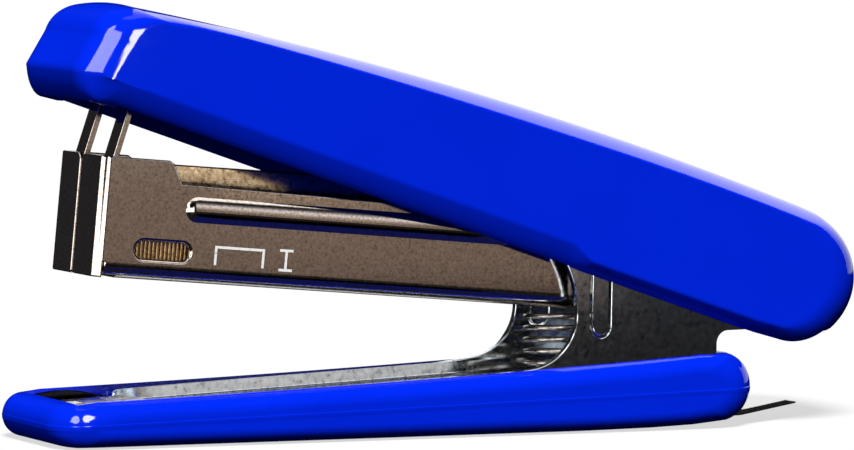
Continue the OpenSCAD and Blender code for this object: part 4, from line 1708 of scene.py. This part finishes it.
@dataclass
class HandleCover:
    """Blue moulded handle: an arched back with filleted edges and a bevelled lower band."""

    width: float = 20.0
    nose_x: float = 97.5
    nose_r: float = 4.8
    nose_lean: float = 1.0
    nose_crease: float = -5.65
    nose_foot: tuple[Point2, Point2] = ((1.3, -0.2), (2.9, -0.22))
    crown: Point2 = (-15.0, 8.83)
    crown_r: float = 552.0
    crown_drop: Point2 = (0.95, 2.35)
    crown_run: Point2 = (-87.0, -30.0)
    back_run: Point2 = (1.5, -1.0)
    rear_r: float = 8.64
    rear_drop: float = 8.2
    drop: float = 8.4
    under_rear: Point2 = (-4.0, -26.0)
    under_front: Point2 = (-36.0, -92.0)
    under_gap: float = 0.5
    depths: tuple[float, ...] = (
        0.16, 0.24, 0.34, 0.46, 0.6, 0.78, 1.0, 1.2, 1.45, 1.7, 2.0, 2.4, 2.9, 3.4, 4.0, 4.7, 5.4,
        6.0, 7.0, 8.0, 9.0,
    )
    smooth: float = 40.0
    cut_low: float = -40.0
    crease: Point2 = (2.75, 1.5)
    crease_step: Point2 = (-32.0, -28.5)
    crease_soft: Point2 = (0.1, 0.3)
    crease_fade: Point2 = (-94.0, -88.0)
    bevel_w: float = 1.9
    bevel_pull: float = 0.6
    corner_front: float = 4.0
    corner_rear: float = 5.6
    top_fillet: float = 0.25
    round_front: Point2 = (-80.0, -95.0)
    round_rear: Point2 = (-8.0, 7.65)
    wall: float = 1.4
    roof: float = 2.2
    nose_t: Point2 = (1.8, 4.6)
    nose_half: float = 6.4
    nose_slope: float = 2.6
    nose_shoulder: float = 1.0
    hollow_run: Point2 = (-88.0, -4.0)
    rear_t: float = 2.3
    rear_roof: float = 0.15
    rear_flare: float = 3.5
    lug_xs: Point2 = (-72.0, -48.0)
    lug: Point3 = (4.0, 2.15, 1.0)
    lug_top: float = -1.1
    lug_sunk: float = 0.2
    lug_r: float = 0.2
    lug_edge: float = 0.1

    def back(self, x: float) -> float:
        """Height of the arched back at x."""
        return self.crown[1] - (x - self.crown[0]) ** 2 / (2 * self.crown_r)

    @property
    def nose_top(self) -> Point2:
        """Where the nose's rounding meets the back."""
        x = -self.nose_x + self.nose_lean + self.nose_r
        return (x, self.back(x))

    def outline(self) -> list[Point4]:
        """Side view: x, z, share of the top fillet and share of the lower bevel.

        Returns:
            Points of the closed outline.
        """
        top_x, top_z = self.nose_top
        start_z = top_z - self.nose_r
        front = -self.nose_x
        points = [
            (front + self.nose_lean * s, self.nose_crease + (start_z - self.nose_crease) * s, 0.0, 0.0)
            for s in span(0.0, 1.0, 8)[:-1]
        ]
        for c, s in sweep(180, 90, 30):
            points.append((top_x + self.nose_r * c, start_z + self.nose_r * s, s, 0.0))
        start, end = self.back_run
        points += [(x, self.back(x), 1.0, 0.0) for x in span(top_x + start, end, 60)]
        for c, s in sweep(82, -90, 60):
            rise = self.rear_r if s > 0 else self.rear_drop
            points.append((self.rear_r * c, rise * s, max(0, s), max(0, -s)))
        end, start = self.crease_step
        under = span(*self.under_rear, 10)
        under += span(start + self.under_gap, end - self.under_gap, 14)
        under += span(*self.under_front, 26)
        points += [(x, -self.drop, 0.0, 1.0) for x in under]
        points += [(x, z, 0.0, (self.nose_crease - z) / self.crease[0]) for x, z in self.foot()]
        return points

    def foot(self) -> list[Point2]:
        """Rounded lower edge of the nose in the middle, from the underside up to the crease.

        Returns:
            Points of the edge.
        """
        front = -self.nose_x
        (bend_x, bend_z), (end_x, end_z) = self.nose_foot
        points = []
        for s in span(0.0, 1.0, 12)[:-1]:
            a, b, c = (1 - s) ** 2, 2 * s * (1 - s), s * s
            z = a * (end_z - self.drop) + b * (bend_z - self.drop) + c * self.nose_crease
            points.append((front + (a * end_x + b * bend_x), z))
        return points

    def bevel(self, x: float, depth: float) -> float:
        """Height of the lower band, which turns under from a soft crease.

        Args:
            x: place along the handle.
            depth: depth below the side face.

        Returns:
            The height above the underside.
        """
        tall, short = self.crease
        high = tall + (short - tall) * ease(ramp(x, *self.crease_step))
        soft, lift = self.crease_soft
        lift *= ramp(x, *self.crease_fade)
        share = min(1.0, max(depth, soft) / self.bevel_w)
        pull = 2 * self.bevel_pull
        along = (pull - math.sqrt(pull ** 2 - 4 * (pull - 1) * share)) / (2 * (pull - 1))
        turned = high * (1 - along) ** 2
        if depth >= soft:
            return turned
        u = math.sqrt(depth / soft)
        return (1 - u) ** 2 * (high + lift) + 2 * u * (1 - u) * high + u * u * turned

    def ring(self, depth: float, side: Side) -> list[Point3]:
        """Outline at a depth from one side face.

        Args:
            depth: depth below the side face.
            side: the side.

        Returns:
            Points of the ring.
        """
        half = self.width / 2
        edge, share = fillet(self.top_fillet, depth), ((half - depth) / half) ** 2
        return [
            (
                x + fillet(self.corner_front, depth) * ramp(x, *self.round_front)
                - fillet(self.corner_rear, depth) * ramp(x, *self.round_rear),
                side.value * (half - depth),
                z - top * (edge + self.arch(x) * share) + low * self.bevel(x, depth),
            )
            for x, z, top, low in self.outline()
        ]

    def arch(self, x: float) -> float:
        """How far the back falls from its middle to its edges, which grows towards the rear."""
        front, rear = self.crown_drop
        return front + (rear - front) * math.sin(math.pi / 2 * ramp(x, *self.crown_run))

    def hollow(self, nose: float) -> list[Point2]:
        """Side view of the room inside the cover.

        Args:
            nose: thickness of the nose in front of it.

        Returns:
            Points of the closed outline.
        """
        front = -self.nose_x + self.nose_lean + nose
        slope = front + self.nose_slope
        shoulder = self.nose_top[1] - self.nose_r - self.nose_shoulder
        inner = self.rear_r - self.rear_t
        return (
            [(front, self.cut_low), (front, shoulder), (slope, self.back(slope) - self.roof)]
            + [(x, self.back(x) - self.roof) for x in span(*self.hollow_run, 42)]
            + arc((0, 0), (inner, inner - self.rear_roof), 84, 0, 20)
            + [(inner + self.rear_flare, self.cut_low)]
        )

    def build(self, shop: Workshop) -> None:
        """Make the cover, hollow it out, and dress it.

        Args:
            shop: workshop that dresses the pieces.
        """
        soft = self.crease_soft[0]
        depths = [soft * u * u for u in span(0.0, 1.0, 4)]
        depths += self.depths
        rings = [self.ring(d, Side.NEAR) for d in depths] + [self.ring(self.width / 2, Side.FAR)]
        rings += [self.ring(d, Side.FAR) for d in reversed(depths)]
        cover = Solid.loft(rings).make("handle_shell", IN_HANDLE, self.smooth)
        carve(cover, [
            prism(self.hollow(nose), -half, half, IN_HANDLE)
            for nose, half in zip(self.nose_t, (self.nose_half, self.width / 2 - self.wall))
        ], self.smooth)
        shop.deliver(cover, BLUE, Slot.BLUE_COVER, Body.HANDLE, "handle_cover")
        self.build_lugs(shop)

    def build_lugs(self, shop: Workshop) -> None:
        """Make the four lugs inside the cover that carry its steel frame.

        Args:
            shop: workshop that dresses the pieces.
        """
        length, reach, high = self.lug
        outer = self.width / 2 - self.wall + self.lug_sunk
        lugs = Solid()
        for x in self.lug_xs:
            ends = (x - length / 2, x + length / 2)
            outline = box(ends, (self.lug_top - high, self.lug_top), (self.lug_r,) * 4, 3)
            for side in Side:
                lug = Solid.plate(outline, [], reach + self.lug_sunk, self.lug_edge)
                lugs.join(lug.map(lambda p, s=side.value: (p.x, s * (outer - p.z), p.y)))
        made = lugs.make("handle_lugs", IN_HANDLE)
        shop.deliver(made, BLUE, Slot.BLUE_COVER, Body.HANDLE)


@dataclass
class Driver:
    """Forked steel blade under the nose of the handle, cranked towards its tip."""

    x: float = -89.0
    sheet: float = 0.7
    width: float = 10.7
    leg: float = 2.6
    top: float = 0.4
    window: Point2 = (-14.0, -5.6)
    crank: float = -13.4
    tip: float = -20.8
    shift: float = 1.17
    lead: Point2 = (0.5, 2.0)
    corners: Point3 = (0.15, 0.3, 0.8)
    window_r: float = 0.5
    edge: float = 0.1

    def place(self, point: Vector) -> Point3:
        """Stand a flat point up in the handle, and push its lower part back."""
        back = self.shift * ramp(point.y, self.crank, self.tip)
        return (self.x + point.z + back, point.x, point.y)

    def build(self, shop: Workshop) -> None:
        """Make the blade and dress it.

        Args:
            shop: workshop that dresses the pieces.
        """
        half = self.width / 2
        narrow, start = half - self.lead[0], self.tip + self.lead[1]
        foot, side, top = self.corners
        outline = rounded([
            (-narrow, self.tip, foot), (narrow, self.tip, foot), (half, start, side),
            (half, self.top, top), (-half, self.top, top), (-half, start, side),
        ])
        inner = half - self.leg
        window = box((-inner, inner), self.window, (self.window_r,) * 4)
        blade = Solid.plate(outline, [window], self.sheet, self.edge)
        made = blade.split(1, [self.crank]).map(self.place).make("driver", IN_HANDLE)
        shop.deliver(made, NICKEL, Slot.NICKEL_SHEET, Body.HANDLE, "driver_blade")


@dataclass
class Fasteners:
    """Domed rivets and the pivot pin."""

    base_xs: Point2 = (23.5, 30.0)
    base_low: float = 0.25
    base_proud: float = 0.6
    head: Point2 = (2.0, 0.5)
    shank: float = 1.2
    driver_at: Point3 = (-89.0, 2.6, -2.6)
    driver_head: Point2 = (1.6, 0.5)
    driver_shank: float = 0.9
    driver_grip: float = 1.5
    pin_r: float = 1.5
    pin_y: Point2 = (-8.2, 8.4)
    pin_head: Point2 = (2.4, 0.35)
    pin_end: Point2 = (0.25, 0.2)
    smooth: float = 35.0
    dome_shape: tuple[Point2, ...] = (
        (0.15, 0.0), (0.45, 0.06), (0.72, 0.24), (0.90, 0.52), (1.0, 0.86), (1.0, 1.0),
    )

    def dome(self, radius: float, height: float, shank: float) -> list[Point2]:
        """Profile of a domed head from its crown to its shank, crown at zero."""
        return [(r * radius, h * height) for r, h in self.dome_shape] + [(shank, height)]

    def rivet(self, head: Point2, shank: float, grip: float) -> Solid:
        """A rivet with a domed head at each end, its lower crown at zero.

        Args:
            head: radius and height of the heads.
            shank: radius of the shank.
            grip: length between the heads.

        Returns:
            The solid.
        """
        low = self.dome(*head, shank)
        length = grip + 2 * head[1]
        return Solid.lathe(low + [(r, length - h) for r, h in reversed(low)])

    def build(self, shop: Workshop) -> None:
        """Make the base rivets, the driver rivets and the pin, and dress them.

        Args:
            shop: workshop that dresses the pieces.
        """
        base = Solid()
        for x in self.base_xs:
            top = floor_z(x) + self.base_proud
            rivet = self.rivet(self.head, self.shank, top - self.base_low - 2 * self.head[1])
            base.join(rivet.map(lambda p, x=x: (p.x + x, p.y, p.z + self.base_low)))
        made = base.make("tray_rivets", smooth=self.smooth)
        shop.deliver(made, RIVET, Slot.RIVET_STEEL, Body.BASE, "base_rivets")
        pair = Solid()
        x, y, z = self.driver_at
        for side in Side:
            rivet = self.rivet(self.driver_head, self.driver_shank, self.driver_grip)
            start = x - self.driver_head[1]
            pair.join(rivet.map(lambda p, s=side.value: (start + p.z, s * y + p.x, z + p.y)))
        made = pair.make("blade_rivets", IN_HANDLE, self.smooth)
        shop.deliver(made, RIVET, Slot.RIVET_STEEL, Body.HANDLE, "driver_rivets")
        low, high = self.pin_y
        crown = low - self.pin_head[1]
        profile = [(r, crown + h) for r, h in self.dome(*self.pin_head, self.pin_r)]
        worn, centre = self.pin_end
        profile += [(self.pin_r, high - worn), (self.pin_r - worn, high), (centre, high)]
        pin = Solid.lathe(profile).map(lambda p: (IN_HANDLE.x + p.x, p.z, IN_HANDLE.z + p.y))
        made = pin.make("hinge_pin", smooth=self.smooth)
        shop.deliver(made, RIVET, Slot.RIVET_STEEL, Body.BASE, "pivot_pin")


@dataclass
class KeptSolids:
    """Solids of the frame that keep their shape and only get a finish."""

    finishes: dict[str, Finish] = field(default_factory=lambda: {
        "anvil_plate": BRIGHT,
        "anvil_rivets": RIVET,
        "spring_seat": RIVET,
        "pivot_washer": RIVET,
        "staple_rail": NICKEL,
        "rail_rivets": RIVET,
        "pusher": DARK,
        "pusher_rod": BRIGHT,
        "handle_frame": NICKEL,
    })

    def build(self, shop: Workshop) -> None:
        """Dress each kept solid.

        Args:
            shop: workshop that dresses the pieces.
        """
        for name, finish in self.finishes.items():
            shop.dress(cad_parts[name], finish)
            log.info("%s: kept, %s", name, finish.name)


# Brightness of the studio's cards.
BLACK_CARD = (0.016, 0.015, 0.015)
SHADE_CARD = (0.026, 0.026, 0.03)
BROWN_CARD = (0.26, 0.20, 0.17)
WHITE_CARD = (1.0, 1.0, 1.0)
BRIGHT_CARD = (1.7, 1.7, 1.7)
GLARE_CARD = (2.6, 2.6, 2.6)
GOLD_CARD = (1.5, 1.25, 0.9)
BLUE_CARD = (0.008, 0.011, 0.13)
TABLE_CARD = (1.6, 1.7, 1.8)


@dataclass(frozen=True)
class Lamp:
    """A distant soft light: where it stands, its strength and how wide it looks, in degrees."""

    azimuth: float
    elevation: float
    strength: float
    width: float


@dataclass
class Studio:
    """White sweep, soft lights, dark cards for the metal, and the camera."""

    target: Point3 = (-2.1, 0.0, 23.9)
    azimuth: float = -27.0
    elevation: float = 3.8
    roll: float = 1.0
    distance: float = 680.0
    scale: float = 8.55
    frame_px: float = 854.0
    sensor: float = 36.0
    clip: Point2 = (0.01, 50.0)
    sky: float = 0.05
    floor_reach: float = 12.0
    floor_sink: float = 0.0002
    floor_dim: Point4 = (0.03, 0.03, 0.03, 1.0)
    floor_pale: Point4 = (0.30, 0.30, 0.30, 1.0)
    floor_glow: float = 0.66
    key: Lamp = Lamp(-27.0, 50.0, 4.45, 18.0)
    fill: Lamp = Lamp(-110.0, 6.0, 0.6, 30.0)
    rim: Lamp = Lamp(165.0, 35.0, 1.6, 40.0)
    nose_corner: Point3 = (-46.0, -9.5, 44.0)
    base_corner: Point3 = (-50.2, -9.6, 3.4)
    panel_away: float = 40.0
    lamp_away: float = 80.0
    card_away: float = 150.0
    card_steps: int = 36
    room_away: float = 700.0
    room_top: float = 4000.0

    def direction(self, azimuth: float, elevation: float) -> Vector:
        """Unit vector from the stapler towards a place in the studio."""
        a, e = math.radians(azimuth), math.radians(elevation)
        return Vector((math.sin(a) * math.cos(e), -math.cos(a) * math.cos(e), math.sin(e)))

    def build_camera(self) -> None:
        """Set up the camera at the photograph's angle."""
        back = self.direction(self.azimuth, self.elevation)
        flat = Vector((math.cos(math.radians(self.azimuth)), math.sin(math.radians(self.azimuth)), 0))
        upright = back.cross(flat)
        turn = math.radians(self.roll)
        right = flat * math.cos(turn) + upright * math.sin(turn)
        up = upright * math.cos(turn) - flat * math.sin(turn)
        data = bpy.data.cameras.new("camera")
        data.sensor_width = self.sensor
        data.lens = self.scale * self.distance / self.frame_px * self.sensor
        data.clip_start, data.clip_end = self.clip
        camera = add_object("camera", data)
        place = (Vector(self.target) + back * self.distance) * MM
        axes = Matrix((right, up, back)).transposed()
        camera.matrix_world = Matrix.Translation(place) @ axes.to_4x4()
        bpy.context.scene.camera = camera

    def mix_by_ray(self, tree: bpy.types.NodeTree, unseen: bpy.types.Node, seen: bpy.types.Node,
                   output: str) -> None:
        """Show one surface to camera, glossy and transmission rays, and another to the others.

        Args:
            tree: the tree of both surfaces.
            unseen: what lights the stapler.
            seen: what the camera and reflections see.
            output: name of the tree's output.
        """
        path = add_node(tree, "LightPath")
        total = path.outputs["Is Camera Ray"]
        for name in ("Is Glossy Ray", "Is Transmission Ray"):
            larger = add_node(tree, "Math")
            larger.operation = "MAXIMUM"
            tree.links.new(total, larger.inputs[0])
            tree.links.new(path.outputs[name], larger.inputs[1])
            total = larger.outputs[0]
        mix = add_node(tree, "MixShader")
        tree.links.new(total, mix.inputs["Fac"])
        tree.links.new(unseen.outputs[0], mix.inputs[1])
        tree.links.new(seen.outputs[0], mix.inputs[2])
        tree.links.new(mix.outputs[0], tree.nodes[output].inputs["Surface"])

    def build_world(self) -> None:
        """White background, and a dim even sky for the light."""
        world = bpy.data.worlds.new("studio")
        bpy.context.scene.world = world
        world.use_nodes = True
        tree = world.node_tree
        tree.nodes.remove(tree.nodes["Background"])
        sky = add_node(tree, "Background", Color=(1, 1, 1, 1), Strength=self.sky)
        white = add_node(tree, "Background", Color=(1, 1, 1, 1), Strength=1.0)
        self.mix_by_ray(tree, sky, white, "World Output")

    def build_floor(self) -> None:
        """Pale floor that keeps the shadow."""
        data = bpy.data.meshes.new("floor")
        reach = self.floor_reach
        corners = [(-reach, -reach, 0), (reach, -reach, 0), (reach, reach, 0), (-reach, reach, 0)]
        data.from_pydata(corners, [], [(0, 1, 2, 3)])
        floor = add_object("floor", data)
        floor.location.z = -self.floor_sink
        material = bare_material("pale_floor")
        tree = material.node_tree
        dim = add_node(tree, "BsdfDiffuse", Color=self.floor_dim)
        pale = add_node(tree, "BsdfDiffuse", Color=self.floor_pale)
        glow = add_node(tree, "Emission", Strength=self.floor_glow)
        both = add_node(tree, "AddShader")
        tree.links.new(pale.outputs[0], both.inputs[0])
        tree.links.new(glow.outputs[0], both.inputs[1])
        self.mix_by_ray(tree, dim, both, "Material Output")
        data.materials.append(material)

    def sun(self, name: str, lamp: Lamp, shines_on: Receivers = None) -> None:
        """Set up a lamp.

        Args:
            name: name of the lamp.
            lamp: where and how it shines.
            shines_on: pieces that it shines on, or none for all.
        """
        data = bpy.data.lights.new(name, "SUN")
        data.energy = lamp.strength
        data.angle = math.radians(lamp.width)
        made = add_object(name, data)
        towards = self.direction(lamp.azimuth, lamp.elevation)
        made.rotation_mode = "QUATERNION"
        made.rotation_quaternion = towards.to_track_quat("Z", "Y")
        made.visible_glossy = False
        made.light_linking.receiver_collection = shines_on

    def glow(self, name: str, stops: Sequence[Stop]) -> bpy.types.Material:
        """A glowing surface whose colour changes with its height.

        Args:
            name: name of the material.
            stops: heights in millimetres from foot to top, each with its brightness; a single one
                is for a surface of one colour.

        Returns:
            The material.
        """
        if len(stops) == 1:
            height, colour = stops[0]
            stops = [(height, colour), (height + 1.0, colour)]
        foot, top = stops[0][0], stops[-1][0]
        material = bare_material(name)
        tree = material.node_tree
        light = add_node(tree, "Emission")
        place = add_node(tree, "TexCoord")
        parts = add_node(tree, "SeparateXYZ")
        ranged = add_node(tree, "MapRange", From_Min=foot * MM, From_Max=top * MM)
        shades = add_node(tree, "ValToRGB")
        set_stops(shades, [((height - foot) / (top - foot), colour) for height, colour in stops])
        tree.links.new(place.outputs["Object"], parts.inputs[0])
        tree.links.new(parts.outputs["Z"], ranged.inputs["Value"])
        tree.links.new(ranged.outputs["Result"], shades.inputs["Fac"])
        tree.links.new(shades.outputs["Color"], light.inputs["Color"])
        tree.links.new(light.outputs[0], tree.nodes["Material Output"].inputs["Surface"])
        return material

    def card(self, name: str, points: Sequence[Vector], faces: Sequence[Sequence[int]],
             stops: Sequence[Stop], shines_on: Receivers) -> None:
        """A studio card that only reflections see.

        Args:
            name: name of the card.
            points: its corners in millimetres.
            faces: its faces, as places in that list.
            stops: heights in millimetres, each with the card's brightness there.
            shines_on: pieces that it shines on, or none for all; it is black to the others.
        """
        data = bpy.data.meshes.new(name)
        data.from_pydata([p * MM for p in points], [], faces)
        data.materials.append(self.glow(name, stops))
        made = add_object(name, data)
        made.visible_camera = False
        made.visible_diffuse = False
        made.visible_shadow = False
        made.light_linking.receiver_collection = shines_on

    def screen(self, name: str, turn: Point2, away: Point2, stops: Sequence[Stop],
               shines_on: Receivers) -> None:
        """A curved card around the stapler.

        Args:
            name: name of the card.
            turn: azimuths of its two ends, as for the camera.
            away: distance of its lower and its upper edge, in millimetres.
            stops: heights with the brightness there; a single one makes a card that lies flat.
            shines_on: pieces that it shines on, or none for all.
        """
        foot, top = Vector((0, 0, stops[0][0])), Vector((0, 0, stops[-1][0]))
        points: list[Vector] = []
        for azimuth in span(*turn, self.card_steps):
            out = self.direction(azimuth, 0.0)
            points += [out * away[0] + foot, out * away[1] + top]
        faces = [(2 * i, 2 * i + 2, 2 * i + 3, 2 * i + 1) for i in range(self.card_steps)]
        self.card(name, points, faces, stops, shines_on)

    def panel(self, name: str, eye: Point3, away: float, outline: Sequence[Point2], glow: Colour,
              shines_on: Receivers) -> None:
        """A bright panel that shows as a spot on a glossy corner; its outline is in degrees."""
        points = [Vector(eye) + self.direction(*corner) * away for corner in outline]
        self.card(name, points, [tuple(range(len(points)))], [(0.0, glow)], shines_on)

    def build(self, shop: Workshop) -> None:
        """Set the whole studio up.

        Args:
            shop: workshop that knows the kind of each piece.
        """
        bpy.context.scene.view_settings.view_transform = "Standard"
        self.build_camera()
        self.build_world()
        self.build_floor()
        handle, base, metal, tray, back_lit, any_piece = (shop.faces[kind] for kind in Gloss)
        self.sun("key_light", self.key)
        self.sun("front_light", self.fill)
        self.sun("back_light", self.rim, any_piece)
        self.build_panels(handle, base)
        self.build_cards(metal, tray)
        self.build_room(metal, back_lit, any_piece)

    def build_panels(self, handle: Receivers, base: Receivers) -> None:
        """Set up the bright spots on the front corners of handle and base.

        Args:
            handle: pieces of the handle's plastic.
            base: pieces of the base's plastic.
        """
        self.panel("lilac_panel", self.nose_corner, self.panel_away, [
            (-88, 8), (-28, 8), (-28, 36), (-60, 46), (-68, 60), (-76, 60), (-88, 46),
        ], (10.0, 10.0, 12.0), handle)
        self.panel("white_panel", self.nose_corner, self.panel_away, [
            (2, 30), (21, 16), (24, 5), (23.5, 1.5), (17.5, 2.5), (15.5, -1),
            (15.5, -4), (11, -1), (8, 4.5), (6, 8.5), (0, 13), (3, 19),
        ], (28.0, 28.0, 28.0), handle)
        self.panel("lilac_lamp", self.base_corner, self.lamp_away, [
            (-57, 22), (-52, 43), (-38, 51), (-25, 41), (-25, 24), (-41, 14),
        ], (13.0, 14.0, 16.0), base)
        self.panel("white_lamp", self.base_corner, self.lamp_away, [
            (-13, 36), (-7, 48), (8, 51), (19, 44), (16, 31), (2, 25), (-9, 26),
        ], (26.0, 26.0, 28.0), base)

    def build_cards(self, metal: Receivers, tray: Receivers) -> None:
        """Set up the cards close to the stapler, which its steel mirrors.

        Args:
            metal: pieces of metal.
            tray: the steel tray.
        """
        near = (self.card_away,) * 2
        self.screen("brown_card", (-2.0, 34.0), near, [
            (0.0, BLACK_CARD), (4.0, BLACK_CARD), (7.0, BROWN_CARD), (20.0, BROWN_CARD),
            (40.0, (0.50, 0.46, 0.43)), (54.0, (0.85, 0.80, 0.79)), (66.0, (1.1, 1.05, 1.06)),
            (78.0, (0.97, 0.94, 0.97)), (92.0, (0.53, 0.51, 0.55)), (106.0, (0.20, 0.19, 0.22)),
            (122.0, (0.04, 0.04, 0.05)), (140.0, BLACK_CARD),
        ], metal)
        closer = (self.card_away - 1.0,) * 2
        self.screen("gold_card", (13.0, 22.0), closer, [(20.9, GOLD_CARD), (24.0, GOLD_CARD)], metal)
        self.screen("ear_card", (32.0, 85.0), near, [
            (0.0, BLACK_CARD), (5.0, SHADE_CARD), (30.0, SHADE_CARD),
        ], metal)
        self.screen("bend_card", (-98.0, -14.0), near, [
            (0.0, GLARE_CARD), (100.0, GLARE_CARD), (130.0, WHITE_CARD),
        ], metal)
        self.screen("blue_card", (-60.0, 60.0), (18.0, 46.0), [(0.2, BLUE_CARD)], metal)
        self.screen("table_card", (-20.0, 27.0), (40.0, 75.0), [(0.3, TABLE_CARD)], tray)

    def build_room(self, metal: Receivers, back_lit: Receivers, any_piece: Receivers) -> None:
        """Set up the room that reflections see: dark with a bright window, and white behind.

        Args:
            metal: pieces of metal.
            back_lit: pieces of metal and of the base's plastic.
            any_piece: all pieces.
        """
        far = (self.room_away,) * 2
        self.screen("room", (-180.0, 90.0), far, [
            (0.0, SHADE_CARD), (600.0, BLACK_CARD), (660.0, BRIGHT_CARD), (1250.0, BRIGHT_CARD),
            (1300.0, BLACK_CARD), (self.room_top, BLACK_CARD),
        ], metal)
        for name, turn, shines_on in (
            ("back_card", (90.0, 155.8), any_piece),
            ("back_card_2", (155.8, 157.5), back_lit),
            ("back_card_3", (157.5, 180.0), metal),
        ):
            self.screen(name, turn, far, [(10.0, WHITE_CARD), (self.room_top, WHITE_CARD)], shines_on)
        self.screen("table", (-180.0, 180.0), (0.0, self.room_away), [(0.1, BLACK_CARD)], metal)


def main() -> None:
    """Build every sub-assembly, then the studio."""
    logging.basicConfig(level=logging.INFO, format="%(name)s: %(message)s")
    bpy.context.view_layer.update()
    shop = Workshop()
    for part in (
        BaseCover(), BaseFrame(), RemoverTongue(), Magazine(), StapleMark(), StapleStrip(), Springs(),
        HandleCover(), Driver(), Fasteners(), KeptSolids(),
    ):
        part.build(shop)
    Studio().build(shop)


if __name__ == "__main__":
    main()
